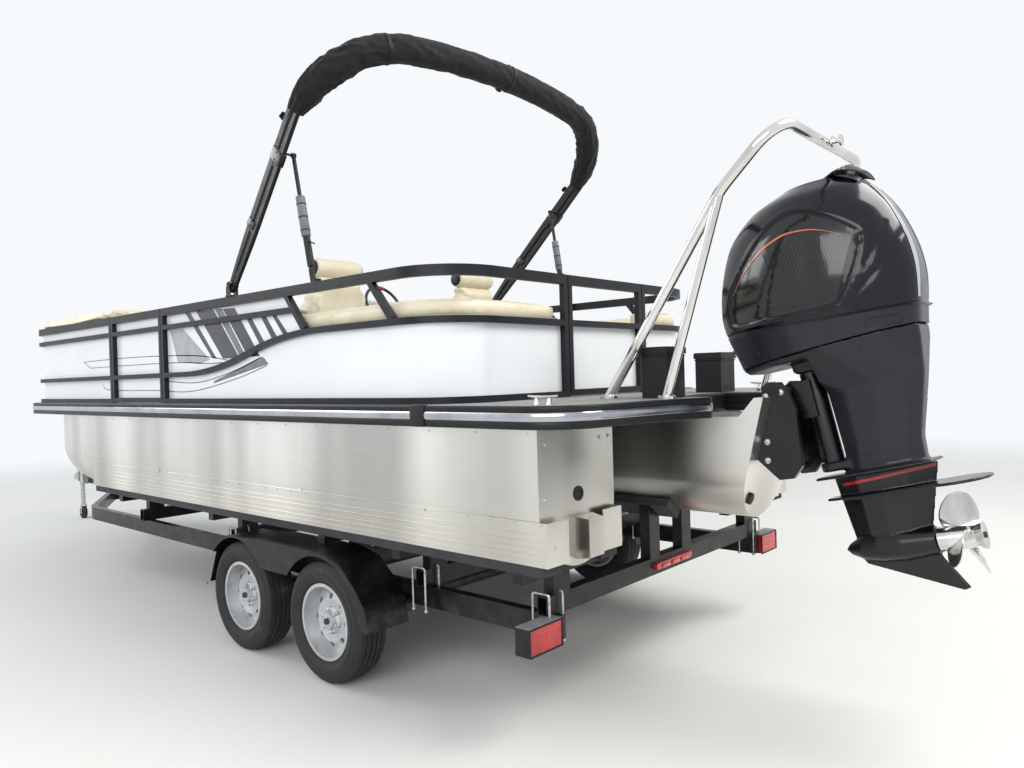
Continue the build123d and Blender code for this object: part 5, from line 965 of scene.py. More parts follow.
GLOSS = coated("gloss_black", (3, 3, 5), (8, 9, 13), (0.10, 0.18), Coat_Weight=0.3, grain_depth=0.0)
GAP = coated("gap_black", (6, 6, 7), (12, 12, 13), (0.5, 0.7))
SILVER = coated("silver_trim", (172, 176, 182), (206, 210, 215), (0.2, 0.3), metal=0.7, Coat_Weight=0.4)
AMBER = coated("accent_orange", (176, 84, 44), (214, 118, 70), (0.2, 0.3), Coat_Weight=0.5)
RED = coated("accent_red", (150, 14, 22), (190, 24, 32), (0.2, 0.3), Coat_Weight=0.5)
BRIGHT = brushed("bright_steel", (186, 186, 184), (236, 236, 234), "X", (0.1, 0.2), scale=7.0)
BOLT = spangle_finish("bolt_zinc")
DARK_PLASTIC = FINISHES["box_plastic"]

RECESS_TOP = ((0.098, 0.480), (0.028, 0.562), (-0.040, 0.632), (-0.174, 0.728), (-0.312, 0.757),
              (-0.452, 0.684), (-0.545, 0.596))
RECESS_LOW = ((0.108, 0.372), (0.02, 0.352), (-0.099, 0.336), (-0.22, 0.322), (-0.302, 0.316), (-0.36, 0.312),
              (-0.408, 0.316))
bead = bmesh.new()
for side in (1, -1):
    panel = bmesh.new()
    motor_patch(panel, cowl_tree, RECESS_TOP, RECESS_LOW, side, 30)
    face_out(panel)
    piece(f"cowl_panel_{'port' if side > 0 else 'starboard'}", panel, "cowl_paint", GLOSS, MOTOR)
    motor_bead(bead, cowl_tree, RECESS, 0.0035, side, True, 0.001)
piece("cowl_panel_lip", bead, "cowl_paint", body=MOTOR)

SWOOSH = ((0.075, 0.505), (-0.03, 0.59), (-0.114, 0.641), (-0.19, 0.668), (-0.269, 0.68), (-0.371, 0.661),
          (-0.448, 0.623), (-0.494, 0.59))
mark, fine, trim = bmesh.new(), bmesh.new(), bmesh.new()
for side in (1, -1):
    motor_band(mark, cowl_tree, SWOOSH,
               lambda t: 0.0015 + 0.008 * sin(pi * min(1, t * 1.15)) if t < 0.87 else 0.002, side, 0.004)
    for k in range(17):
        u = -0.215 - k * 0.014
        motor_band(fine, cowl_tree, ((u, 0.645 - k * 0.0022), (u - 0.012, 0.44 + k * 0.002)), 0.0022, side,
                   0.0042)
    motor_bead(trim, cowl_tree,
               ((0.075, 0.486), (-0.03, 0.571), (-0.16, 0.64), (-0.269, 0.662), (-0.36, 0.646)), 0.0012, side)
piece("cowl_swoosh", mark, "cowl_paint", AMBER, MOTOR, smooth=False)
piece("cowl_pinstripes", fine, "cowl_paint", STRIPE_DARK, MOTOR, smooth=False)
piece("cowl_swoosh_line", trim, "cowl_paint", SILVER, MOTOR)

# Silver trim down both rear corners, from the scoop to the seam
back_trim = bmesh.new()
for side in (1, -1):
    rows = []
    for k in range(41):
        w = 0.80 - k / 40 * 0.545
        _, back, half = eased(COWL, w)
        wide = 0.020 + 0.026 * sin(pi * min(1.0, k / 40 * 1.05))
        edge = half * 0.36 - 0.004
        rows.append([lifted(touched(cowl_tree, motor(back - 0.3, w, side * float(y)), U_DIR), 0.002)
                     for y in np.linspace(edge - wide, edge, 4)])
    strip(back_trim, rows)
face_out(back_trim)
piece("cowl_back_trim", back_trim, "cowl_paint", SILVER, MOTOR)


# Air scoop on the crown: a visor that lifts off the shell over two pale mouths

def crown_spot(u, y, lift):
    met = touched(cowl_tree, motor(u, 1.5, y), -W_DIR)
    return met[0] + W_DIR * lift if met else None


hood = bmesh.new()
rows = []
for k in range(29):
    t = k / 28
    u = -0.40 - 0.205 * t
    half = 0.075 + 0.045 * sin(pi * t * 0.8)
    row = []
    for j in range(31):
        share = 2 * j / 30 - 1
        lift = -0.004 + 0.062 * float(smoothstep(t * 1.05)) * (1.0 - 0.18 * share ** 2)
        spot = crown_spot(u, half * share * 0.86, lift)
        row.append(spot + Vector((0, half * share * 0.14, 0)) if spot else None)
    rows.append(row)
strip(hood, rows)
face_out(hood)
bmesh.ops.solidify(hood, geom=hood.faces[:], thickness=0.006)
piece("cowl_hood", hood, "cowl_paint", body=MOTOR)
mouth = bmesh.new()
strip(mouth, [[crown_spot(-0.455 - 0.135 * k / 20, y, 0.003) for y in np.linspace(-0.105, 0.105, 21)]
              for k in range(21)])
face_out(mouth)
piece("cowl_mouths", mouth, "cowl_paint", SILVER, MOTOR)

# Seam gasket, latch recess, drain holes and the red line on the lower unit
gasket = bmesh.new()
loop = []
for k in range(RING):
    u = 0.0
    for _ in range(4):
        ring = cowl_ring(*eased(COWL, seam_height(u)))
        u = ring[k, 0]
    loop.append(motor(float(ring[k, 0] * 0.985 - 0.004), seam_height(u), float(ring[k, 1] * 0.985)))
pipe(gasket, loop, 0.0045, 8, True)
piece("cowl_gasket", gasket, "motor_black", GAP, MOTOR)

latch, latch_rim, red = bmesh.new(), bmesh.new(), bmesh.new()
for side in (1, -1):
    motor_patch(latch, cowl_tree, ((-0.505, 0.2), (-0.56, 0.196), (-0.612, 0.192)),
                ((-0.495, 0.168), (-0.55, 0.165), (-0.606, 0.162)), side, 4)
    motor_bead(latch_rim, cowl_tree, ((-0.499, 0.204), (-0.56, 0.2), (-0.616, 0.194), (-0.61, 0.16),
                                      (-0.55, 0.162), (-0.490, 0.166)), 0.0022, side, True)
    for u, w in ((-0.224, 0.196), (0.02, 0.2)):
        spot = motor_spot(cowl_tree, u, w, side, 0)
        disc(latch, spot - Vector((0, side * 0.004, 0)), (0, side, 0), 0.007, 0.0045)
    motor_band(red, gear_tree, ((-0.139, -0.487), (-0.30, -0.478), (-0.47, -0.468), (-0.60, -0.46)), 0.014,
               side)
piece("latch_recess", latch, "motor_black", GAP, MOTOR, smooth=False)
piece("latch_rim", latch_rim, "leg_paint", body=MOTOR)
piece("gearcase_red_line", red, "motor_black", RED, MOTOR, smooth=False)

leg_screws = bmesh.new()
for u, w, radius in ((-0.62, 0.02, 0.007), (-0.57, -0.18, 0.006), (-0.30, -0.36, 0.006),
                     (-0.50, -0.34, 0.006), (-0.43, 0.10, 0.006)):
    for side in (1, -1):
        bolt_on(leg_screws, touched(leg_tree, motor(u, w, side * 0.6), (0, -side, 0)), radius)
piece("leg_screws", leg_screws, "motor_black", body=MOTOR)

# Bolts of the clamp bracket
clamp_tree = tree_of(NODES["clamp_bracket"])
fittings = bmesh.new()
for side in (1, -1):
    for x, z in ((-1.075, 1.50), (-1.075, 1.40), (-1.08, 1.28), (-1.08, 1.19), (-1.15, 1.52)):
        bolt_on(fittings, touched(clamp_tree, ship(x, side * 0.6, z), (0, -side, 0)), 0.011)
piece("clamp_bolts", fittings, "motor_black", BOLT)

# Deck, rub rail, strakes and pontoon fittings

def filleted(points, radii, steps, closed=False):
    """Polyline with its corners rounded in a number of steps."""
    count = len(points)
    points = [Vector(p) for p in points]
    line = []
    for i, p in enumerate(points):
        if not closed and i in (0, count - 1):
            line.append(p)
            continue
        a, b = points[i - 1], points[(i + 1) % count]
        r = radii[i] if hasattr(radii, "__len__") else radii
        into, out = (p - a).normalized(), (b - p).normalized()
        turn = into.angle(out)
        if r <= 0 or turn < 1e-4:
            line.append(p)
            continue
        cut = r * sin(turn / 2) / cos(turn / 2)
        start, end = p - into * cut, p + out * cut
        inward = (out - into).normalized()
        centre = p + inward * (r / cos(turn / 2))
        first, last = start - centre, end - centre
        axis = first.cross(last).normalized()
        for k in range(steps + 1):
            line.append(centre + Matrix.Rotation(turn * k / steps, 3, axis) @ first)
    return line


DECK_HALF, DECK_BOW, DECK_THICK, DECK_CORNER = 1.27, 5.78, 0.024, 0.25
STERN_SIDE, STERN_KNEE, STERN_MID, NOTCH_BOW = -0.70, -0.79, -0.89, -0.62
KNEE_HALF, MID_HALF = 0.63, 0.33
RAIL_FOOT = 1.405
INSERT_LOW, INSERT_TOP = 1.4385, 1.4785


def deck_plan(grow):
    """The deck's outline grown outwards, with rounded corners; its middle points close the motor notch."""
    half, notch = DECK_HALF + grow, MID_HALF - grow
    port = [(DECK_BOW + grow, half, 0), (STERN_SIDE - grow, half, 0), (STERN_KNEE - grow, KNEE_HALF, 0),
            (STERN_MID - grow, notch, 0), (NOTCH_BOW - grow, notch, 0)]
    radii = [DECK_CORNER + grow, DECK_CORNER + grow, 0, 0.03 + grow, 0]
    return filleted(port + [(x, -y, z) for x, y, z in port[::-1]], radii + radii[::-1], 14, True)


def deck_rings(bm, profile, closed):
    """Faces round the deck's outline through (grow, height) rings."""
    skin(bm, [[bm.verts.new(ship(p.x, p.y, z)) for p in deck_plan(grow)] for grow, z in profile], closed)
    face_out(bm)


deck = bmesh.new()
edge = ((0, DECK_THICK), (0, 0.003), (-0.0009, 0.0009), (-0.003, 0))
deck_rings(deck, [(grow, DECK_TOP - z) for grow, z in edge], False)
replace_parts(piece("deck_sheet", deck, "deck_sheet"), "deck")

rail = bmesh.new()
lobe = ((0.0170, 0), (0.0215, 0.0015), (0.0242, 0.0045), (0.0250, 0.009))
groove = ((0.0250, 0.004), (0.0238, 0.001), (0.0200, 0))
upper = [(0, DECK_TOP)] + [(g, DECK_TOP - z) for g, z in lobe] + [(g, INSERT_TOP + z) for g, z in groove]
lower = [(0, RAIL_FOOT)] + [(g, RAIL_FOOT + z) for g, z in lobe] + [(g, INSERT_LOW - z) for g, z in groove]
deck_rings(rail, upper + lower[::-1], True)
for side in (1, -1):
    slab(rail, ship(0.15, side * (DECK_HALF + 0.0165), 1.4585), Vector((0.05, 0, 0)), Vector((0, 0.0175, 0)),
         Vector((0, 0, 0.0535)), 0.007)
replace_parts(piece("rub_rail_round", rail, "rub_rail"), "rub_rail")

insert = bmesh.new()
half = ((0.0205, 0.0004), (0.0248, 0.0015), (0.0278, 0.007))
profile = [(grow, INSERT_LOW + z) for grow, z in half] + [(0.0292, (INSERT_LOW + INSERT_TOP) / 2)]
profile += [(grow, INSERT_TOP - z) for grow, z in half[::-1]]
edges = [deck_plan(grow) for grow, _ in profile]
middle = len(edges[0]) // 2
edges = [edge[middle + 1:] + edge[:middle - 1] for edge in edges]
rows = [[ship(edge[i].x, edge[i].y, z) for edge, (_, z) in zip(edges, profile)] for i in range(len(edges[0]))]
strip(insert, rows)
for row in (rows[0], rows[-1]):
    insert.faces.new([insert.verts.new(p) for p in row])
bmesh.ops.remove_doubles(insert, verts=insert.verts, dist=1e-6)
face_out(insert)
INSERT = brushed("rail_insert", (150, 154, 160), (206, 210, 214), "X", (0.14, 0.26), scale=3.0)
piece("rub_rail_insert", insert, "rub_rail", INSERT)

tube_trees = {1: tree_of(NODES["pontoon_port"]), -1: tree_of(NODES["pontoon_starboard"])}
middle_tree = tree_of(NODES["pontoon_center"])


def beside(tree, side, x, z, least=0.0):
    """Place and normal met from abeam, or None where the surface lies further in than least."""
    met = touched(tree, ship(float(x), side * 2.0, float(z)), (0, -side, 0))
    return met if met and abs(met[0].y) > least else None


lines, rivets, seams = bmesh.new(), bmesh.new(), bmesh.new()
for side, tree in tube_trees.items():
    for z, radius in ((0.845, 0.0018), (0.872, 0.0026), (0.899, 0.0018), (0.930, 0.0026), (0.958, 0.0018)):
        found = [beside(tree, side, x, z, 1.0) for x in np.arange(-0.585, 4.25, 0.05)]
        pipe(lines, [lifted(met, 0.0004) for met in found if met], radius, 6)
    for start, end, step, z, radius in ((-0.56, 4.25, 0.145, 1.0, 0.0042), (-0.5, 5.0, 0.31, 1.385, 0.0038)):
        for x in np.arange(start, end, step):
            met = beside(tree, side, x, z, 1.0)
            if met:
                screw(rivets, *met, radius, 0.003)
    # Weld beads around the sheets of the tube
    for x in (1.22, 3.05, 4.46):
        found = [beside(tree, side, x, z, 1.0) for z in np.arange(0.99, 1.40, 0.02)]
        pipe(seams, [met[0] for met in found if met], 0.0022, 6)
piece("strake_lines", lines, "pontoon_metal")
piece("pontoon_rivets", rivets, "pontoon_metal", BOLT)
piece("pontoon_welds", seams, "pontoon_metal")

ends, plugs = bmesh.new(), bmesh.new()
for side, tree in tube_trees.items():
    for y, z in ((0.73, 1.34), (0.80, 1.34), (1.20, 1.34), (0.73, 1.10), (1.21, 1.10), (1.20, 0.90),
                 (0.97, 0.83)):
        met = touched(tree, ship(-2.0, side * y, z), (1, 0, 0))
        if met and met[0].x < ship(-0.3, 0, 0).x:
            screw(ends, *met, 0.0075, 0.005)
    spot, normal = touched(tree, ship(-2.0, side * 0.97, 1.10), (1, 0, 0))
    turned(plugs, spot - normal * 0.001, normal,
           ((0, 0), (0.034, 0), (0.034, 0.006), (0.022, 0.009), (0.02, 0.004), (0, 0.004)), 24)
spot, normal = touched(middle_tree, ship(-3.0, 0.15, 1.0), (1, 0, 0))
turned(plugs, spot - normal * 0.001, normal,
       ((0, 0), (0.03, 0), (0.03, 0.012), (0.02, 0.016), (0, 0.016)), 24)
piece("pontoon_end_bolts", ends, "pontoon_metal", BOLT)
piece("drain_plugs", plugs, "pontoon_metal", DARK_PLASTIC)

# Bimini top, folded in its boot

LEAN = radians(44.6)
HINGE_X, HINGE_Z = 1.985, 2.234
BIMINI = "bimini"


def leaning(y, rise, off=0.0):
    """Row-frame point on the leaning plane of the folded top; off is square to it, forward."""
    return ship(HINGE_X - rise * sin(LEAN) + off * cos(LEAN), y, HINGE_Z + rise * cos(LEAN) + off * sin(LEAN))


def square_tube(bm, line, wide_dir, wide, thick):
    """Flat-sided tube with rounded edges along a line of points."""
    bevel = 0.006
    rows = []
    for i, p in enumerate(line):
        along = heading(line, i)
        a = (wide_dir - along * wide_dir.dot(along)).normalized()
        b = along.cross(a)
        row = []
        for sa, sb in ((1, 1), (-1, 1), (-1, -1), (1, -1)):
            pair = [(sa * (wide / 2), sb * (thick / 2 - bevel)), (sa * (wide / 2 - bevel), sb * thick / 2)]
            row += pair[::sa * sb]
        rows.append([bm.verts.new(p + a * u + b * v) for u, v in row])
    skin(bm, rows)


def leg_y(rise):
    return 1.215 + 0.115 * rise / 1.73


def star_knob(bm, origin, axis, radius):
    axis, side, other = across(axis)
    disc(bm, origin, axis, radius * 0.45, radius * 0.6)
    for k in range(5):
        t = 2 * pi * k / 5
        spot = origin + axis * radius * 0.6 + (side * cos(t) + other * sin(t)) * radius * 0.55
        turned(bm, spot, axis,
               ((0, 0), (radius * 0.42, 0.002), (radius * 0.46, radius * 0.4), (0, radius * 0.5)), 12)


OFF_DIR = Vector((cos(LEAN), 0, sin(LEAN)))
legs, knobs, joints = bmesh.new(), bmesh.new(), bmesh.new()
for side in (1, -1):
    for offs, top, wide, thick in (((0.016, 0.030, 0.040, 0.040), 1.30, 0.044, 0.026),
                                   ((-0.016, -0.026, -0.034, -0.034), 1.36, 0.038, 0.026)):
        rises = (0.03, 0.25, 0.55, top)
        line = [leaning(side * leg_y(r), r, o) for r, o in zip(rises, offs)]
        square_tube(legs, smooth_line(line, 6), OFF_DIR, wide, thick)
    line = [leaning(side * (leg_y(r) - 0.012), r, 0.004) for r in (0.86, 1.34)]
    square_tube(legs, line, OFF_DIR, 0.030, 0.022)
    for r, off, size in ((0.98, 0.0, 0.03), (0.50, 0.02, 0.022), (0.04, 0.0, 0.017)):
        middle = leaning(side * leg_y(r), r, off)
        along = (leaning(side * leg_y(r + 0.1), r + 0.1) - middle).normalized()
        slab(joints, middle, along * size * 1.35, OFF_DIR * size * 1.9, Vector((0, 0.019, 0)), 0.006)
        for k in (-1, 1):
            screw(joints, middle + Vector((0, side * 0.019, 0)) + along * k * size * 0.8, (0, side, 0), 0.006)
    star_knob(knobs, leaning(side * leg_y(1.19), 1.19, 0.060), OFF_DIR, 0.026)
    star_knob(knobs, leaning(side * leg_y(0.04) + side * 0.018, 0.04, 0.0), (0, side, 0), 0.022)
face_out(legs)
piece("bimini_leg_pairs", legs, "top_frame", body=BIMINI)
piece("bimini_joints", joints, "top_frame", FINISHES["motor_black"], BIMINI)
piece("bimini_knobs", knobs, "top_frame", DARK_PLASTIC, BIMINI)

sleeves, pins = bmesh.new(), bmesh.new()
SLEEVE = coated("sleeve_grey", (92, 95, 98), (122, 125, 128), (0.5, 0.65))
braces = NODES["bimini_braces"]
brace_points = [braces.matrix_world @ v.co for v in braces.data.vertices]
for side in (1, -1):
    own = sorted((p for p in brace_points if p.y * side > 0), key=lambda p: p.z)
    count = max(4, len(own) // 20)
    foot = sum((p for p in own[:count]), Vector()) / count
    head = sum((p for p in own[-count:]), Vector()) / count
    along = (head - foot).normalized()
    long = (head - foot).length
    end = long * 0.305
    sleeve = ((0, 0), (0.024, 0), (0.027, 0.004), (0.027, long * 0.30), (0.024, end), (0, end))
    turned(sleeves, foot + along * long * 0.36, along, sleeve, 22)
    for share in (0.40, 0.50, 0.60):
        disc(pins, foot + along * long * share, along, 0.0285, 0.007, 22)
    grip_foot = foot + along * long * 0.33
    rod(pins, grip_foot, grip_foot + Vector((-0.075, 0, -0.03)), 0.004)
    disc(pins, foot + along * 0.02, along, 0.017, 0.06, 16)
piece("brace_sleeves", sleeves, "top_frame", SLEEVE, "braces")
piece("brace_collars", pins, "top_frame", body="braces")

ROUTE = filleted([(1.215, 0, 0), (1.330, 1.730, 0), (0, 1.900, 0), (-1.330, 1.730, 0), (-1.215, 0, 0)],
                 [0, 0.6, 5.5, 0.6, 0], 60)
BOOT_LOW = 1.27         # the boot's ends, up the leaning plane
BOOT_ROWS, AROUND = 300, 60
OVAL_OUT, OVAL_OFF = 1.04, 0.98


def resampled(line, count):
    steps = [0.0]
    for a, b in zip(line, line[1:]):
        steps.append(steps[-1] + (b - a).length)
    out = []
    for at in np.linspace(0, steps[-1], count):
        i = min(int(np.searchsorted(steps, at, side="right")) - 1, len(line) - 2)
        share = (at - steps[i]) / max(steps[i + 1] - steps[i], 1e-9)
        out.append(line[i].lerp(line[i + 1], float(share)))
    return out


fine_route = resampled(ROUTE, 900)
boot_route = resampled([p for p in fine_route if p.y > BOOT_LOW], BOOT_ROWS)
boot_length = sum((b - a).length for a, b in zip(boot_route, boot_route[1:]))


def fold(s, turn):
    """Relief of the wrinkled boot at a place along it (metres) and around it (radians)."""
    ring = Vector((cos(turn), sin(turn), 0))
    slanted = Vector((s * 7.0 + ring.x * 1.1, ring.x * 1.3 + s * 1.6, ring.y * 1.3))
    crease = 1.0 - abs(noise.noise(slanted)) * 2.4
    small = 1.0 - abs(noise.noise(Vector((s * 17.0 - ring.y * 1.4, ring.x * 2.2, ring.y * 2.2 + 7.0)))) * 2.4
    near_end = min(s, boot_length - s)
    crowd = 0.55 + 0.9 * np.exp(-((near_end - 0.35) / 0.28) ** 2)
    return (0.0080 * crease + 0.0042 * small) * crowd


def boot_spot(p, out_dir, r, turn):
    """Row-frame point around the boot's middle line, at a radius and a turn in its oval section."""
    q = p + out_dir * (r * cos(turn) * OVAL_OUT)
    return leaning(q.x, q.y, r * sin(turn) * OVAL_OFF)


boot = bmesh.new()
rows = []
travelled = 0.0
for i, p in enumerate(boot_route):
    along = heading(boot_route, i)
    out_dir = Vector((along.y, -along.x, 0))
    near_end = min(travelled, boot_length - travelled)
    gather = 0.052 + 0.024 * float(smoothstep(near_end / 0.14))
    if near_end < 0.012:
        gather *= 0.93
    row = []
    for k in range(AROUND):
        turn = 2 * pi * k / AROUND
        frill = 0.0035 * cos(turn * 11) * float(np.exp(-(near_end / 0.07) ** 2))
        r = gather + fold(travelled, turn) * min(1.0, 0.25 + near_end / 0.12) + frill - 0.003
        row.append(boot.verts.new(boot_spot(p, out_dir, r, turn)))
    rows.append(row)
    travelled += (boot_route[min(i + 1, BOOT_ROWS - 1)] - p).length
skin(boot, rows)
face_out(boot)
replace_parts(piece("boot_wrinkled", boot, "boot_fabric", body=BIMINI), "bimini_boot")

straps, buckles = bmesh.new(), bmesh.new()
for y in (0.92, -0.03):
    i = min(range(BOOT_ROWS), key=lambda n: abs(boot_route[n].x - y))
    p = boot_route[i]
    along = heading(boot_route, i)
    out_dir = Vector((along.y, -along.x, 0))
    s = boot_length * i / (BOOT_ROWS - 1)
    rows = []
    for k in range(49):
        turn = 2 * pi * k / 48
        r = 0.076 + fold(s, turn) + 0.0015
        rows.append([boot_spot(p + along * shift, out_dir, r, turn) for shift in (-0.011, 0.011)])
    strip(straps, rows)
    q = p + out_dir * -0.0895
    top, root = leaning(q.x, q.y, 0.02), leaning(p.x, p.y, 0.0)
    outward = (top - root).normalized()
    side_dir = (leaning(p.x + along.x, p.y + along.y, 0.0) - root).normalized()
    slab(buckles, top, side_dir * 0.02, outward * 0.008, outward.cross(side_dir) * 0.015, 0.004)
face_out(straps)
piece("boot_straps", straps, "boot_fabric", GAP, BIMINI)
piece("boot_buckles", buckles, "boot_fabric", DARK_PLASTIC, BIMINI)

# Trailer lights, clamps and wheels

rims, covers, ribs, plates = bmesh.new(), bmesh.new(), bmesh.new(), bmesh.new()
CLEAR_RED = coated("lens_ribs", (176, 30, 34), (222, 62, 60), (0.08, 0.16), Coat_Weight=1.0)
LENS_X, LENS_IN, LENS_OUT, LENS_LOW, LENS_TOP = -0.5025, 1.054, 1.276, 0.432, 0.549
HOUSING_X = -0.462
BRACKET = ((0.985, 0.448), (1.046, 0.448), (1.046, 0.545), (1.02, 0.548), (0.985, 0.50))
for side in (1, -1):
    corners = [ship(LENS_X, side * y, z) for y, z in
               ((LENS_IN, LENS_LOW), (LENS_OUT, LENS_LOW), (LENS_OUT, LENS_TOP), (LENS_IN, LENS_TOP))]
    for a, b in zip(corners, corners[1:] + corners[:1]):
        rod(rims, a, b, 0.0045)
    slab(covers, ship(HOUSING_X, side * 1.165, LENS_TOP + 0.003), Vector((0.040, 0, 0)),
         Vector((0, 0.112, 0)), Vector((0, 0, 0.004)), 0.002)
    slab(rims, ship(HOUSING_X, side * 1.278, 0.4905), Vector((0.041, 0, 0)), Vector((0, 0.003, 0)),
         Vector((0, 0, 0.060)), 0.002)
    for k in range(1, 9):
        foot = ship(LENS_X + 0.001, side * (LENS_IN + (LENS_OUT - LENS_IN) * k / 9), LENS_LOW + 0.008)
        rod(ribs, foot, foot + Vector((0, 0, LENS_TOP - LENS_LOW - 0.016)), 0.0022)
    for z in (0.471, 0.510):
        rod(ribs, ship(LENS_X + 0.001, side * 1.062, z), ship(LENS_X + 0.001, side * 1.268, z), 0.0026)
    # Bracket between the lamp and the frame
    prism(plates, [ship(HOUSING_X, side * y, z) for y, z in BRACKET], Vector((0.006, 0, 0)))
    screw(plates, ship(-0.463, side * 1.02, 0.505), (-1, 0, 0), 0.007)
piece("lamp_rims", rims, "lamp", DARK_PLASTIC)
piece("lamp_covers", covers, "lamp", SLEEVE)
piece("lamp_ribs", ribs, "lamp", CLEAR_RED)
piece("lamp_brackets", plates, "trailer_paint")

lamp_tree = tree_of(NODES["tail_lights"])
bar_lens = bmesh.new()
for y in (-0.10, 0.0, 0.10):
    spot, _ = touched(lamp_tree, ship(-2.0, y, 0.593), (1, 0, 0))
    slab(bar_lens, spot - Vector((0.003, 0, 0)), Vector((0.006, 0, 0)), Vector((0, 0.036, 0)),
         Vector((0, 0, 0.010)), 0.004)
piece("light_bar_lenses", bar_lens, "lamp", CLEAR_RED)

clamps = bmesh.new()
HALF_BOLT = 0.048
for x in (-0.42, 0.40, 1.04, 2.30):
    for side in (1, -1):
        for edge in (-HALF_BOLT, HALF_BOLT):
            y = side * 1.05 + edge
            corners = [(x - HALF_BOLT, y, 0.428), (x - HALF_BOLT, y, 0.655), (x + HALF_BOLT, y, 0.655),
                       (x + HALF_BOLT, y, 0.428)]
            pipe(clamps, [ship(*p) for p in filleted(corners, [0, 0.012, 0.012, 0], 5)], 0.0055, 8)
            for end in (-HALF_BOLT, HALF_BOLT):
                disc(clamps, ship(x + end, y, 0.431), (0, 0, 1), 0.011, 0.009, 6)
piece("u_bolts", clamps, "zinc", BOLT)

AXLE_HEIGHT, HUB_FACE = 0.332, 1.24
NUT = ((0, 0), (0.014, 0), (0.012, 0.004), (0.0105, 0.005), (0.0105, 0.018), (0.007, 0.021), (0, 0.021))
HUB_CAP = ((0, -0.004), (0.040, -0.004), (0.040, 0.018), (0.036, 0.030), (0.026, 0.034), (0.012, 0.035),
           (0, 0.035))
SIDEWALL = ((0.222, 0.0022), (0.262, 0.0016), (0.272, 0.0016), (0.300, 0.0022))      # radius and bead
for axle, x in (("front", 1.774), ("rear", 0.917)):
    for word, side in (("port", 1), ("starboard", -1)):
        place = f"{axle}_{word}"
        body = f"wheel_{place}"
        rim_tree, tyre_tree = tree_of(NODES[f"rim_{place}"]), tree_of(NODES[f"tyre_{place}"])
        nuts, hub, wall = bmesh.new(), bmesh.new(), bmesh.new()
        for k in range(6):
            t = 2 * pi * k / 6 + 0.3
            spot, _ = beside(rim_tree, side, x + 0.062 * cos(t), AXLE_HEIGHT + 0.062 * sin(t), 1.15)
            turned(nuts, spot, (0, side, 0), NUT, 6)
        turned(hub, ship(x, side * HUB_FACE, AXLE_HEIGHT), (0, side, 0), HUB_CAP, 28)
        for radius, bead_size in SIDEWALL:
            ring = []
            for k in range(96):
                t = 2 * pi * k / 96
                ring.append(beside(tyre_tree, side, x + radius * cos(t), AXLE_HEIGHT + radius * sin(t), 1.2))
            pipe(wall, [spot for spot, _ in ring], bead_size, 6, True)
        piece(f"lug_nuts_{place}", nuts, "rim_metal", BOLT, body)
        piece(f"hub_cap_{place}", hub, "rim_metal", body=body)
        piece(f"sidewall_rings_{place}", wall, "tyre_rubber", body=body)

# Helm, chairs and deck fittings

HELM = ship(2.700, -0.600, 2.280)
RIM_UP = Vector((sin(radians(25)), 0, cos(radians(25))))
GRIP_RADIUS = 0.180
grip = bmesh.new()
arc = [HELM + Vector((0, GRIP_RADIUS * cos(t), 0)) + RIM_UP * GRIP_RADIUS * sin(t)
       for t in np.linspace(pi / 2 - 0.30, pi / 2 + 0.30, 24)]
pipe(grip, arc, 0.0165, 12)
piece("wheel_mark", grip, "wheel_grip", RED, "steering")

BOLSTER_BACK, BOLSTER_HEIGHT = 0.262, 2.385
BOLSTER = ((0, 0.0), (0.048, 0.0), (0.059, 0.008), (0.063, 0.030), (0.064, 0.18), (0.063, 0.330),
           (0.059, 0.352), (0.048, 0.360), (0, 0.360))
BOLSTER_END = ((0, 0), (0.050, 0), (0.050, 0.006), (0.042, 0.010), (0, 0.010))
for name, cx, cy in (("helm", 1.870, -0.600), ("companion", 1.980, 0.600)):
    body = f"{name}_seat"
    ends, bolster = bmesh.new(), bmesh.new()
    turned(bolster, ship(cx - BOLSTER_BACK, cy - 0.180, BOLSTER_HEIGHT), (0, 1, 0), BOLSTER, 32)
    for side in (1, -1):
        spot = ship(cx - BOLSTER_BACK, cy + side * 0.178, BOLSTER_HEIGHT)
        turned(ends, spot, (0, side, 0), BOLSTER_END, 28)
    piece(f"{name}_bolster", bolster, "cushion_vinyl", body=body)
    piece(f"{name}_bolster_ends", ends, "cushion_vinyl", DARK_PLASTIC, body)

LIDS = ((-0.747, -0.593, 0.318, 0.502, 1.712), (-0.617, -0.443, -0.502, -0.318, 1.692))
lids = bmesh.new()
for x0, x1, y0, y1, z in LIDS:
    outline = filleted([(x0, y0, z), (x1, y0, z), (x1, y1, z), (x0, y1, z)], 0.012, 5, True)
    pipe(lids, [ship(*p) for p in outline], 0.0022, 6, True)
piece("box_lid_seams", lids, "box_plastic", GAP)

cleats = bmesh.new()
for x, y in ((-0.50, 1.14), (-0.50, -1.14), (5.66, 0.95), (5.66, -0.95)):
    for end in (-0.035, 0.035):
        turned(cleats, ship(x + end, y, DECK_TOP), (0, 0, 1),
               ((0, 0), (0.014, 0), (0.012, 0.006), (0.008, 0.028), (0, 0.028)), 14)
    line = [ship(x + t * 0.085, y, DECK_TOP + 0.032 + 0.006 * abs(t) ** 2) for t in np.linspace(-1, 1, 17)]
    pipe(cleats, line, lambda s: 0.0045 + 0.0045 * sin(pi * s), 12)
piece("deck_cleats", cleats, "arch_tube", BRIGHT)

feet = bmesh.new()
for x in (-0.44, -0.765):
    for side in (1, -1):
        for k in range(4):
            t = pi / 4 + k * pi / 2
            spot = ship(x + 0.034 * cos(t), side * 0.545 + 0.034 * sin(t), DECK_TOP + 0.014)
            screw(feet, spot, (0, 0, 1), 0.0045)
piece("arch_foot_screws", feet, "arch_tube", BOLT)


# Floor, light and camera

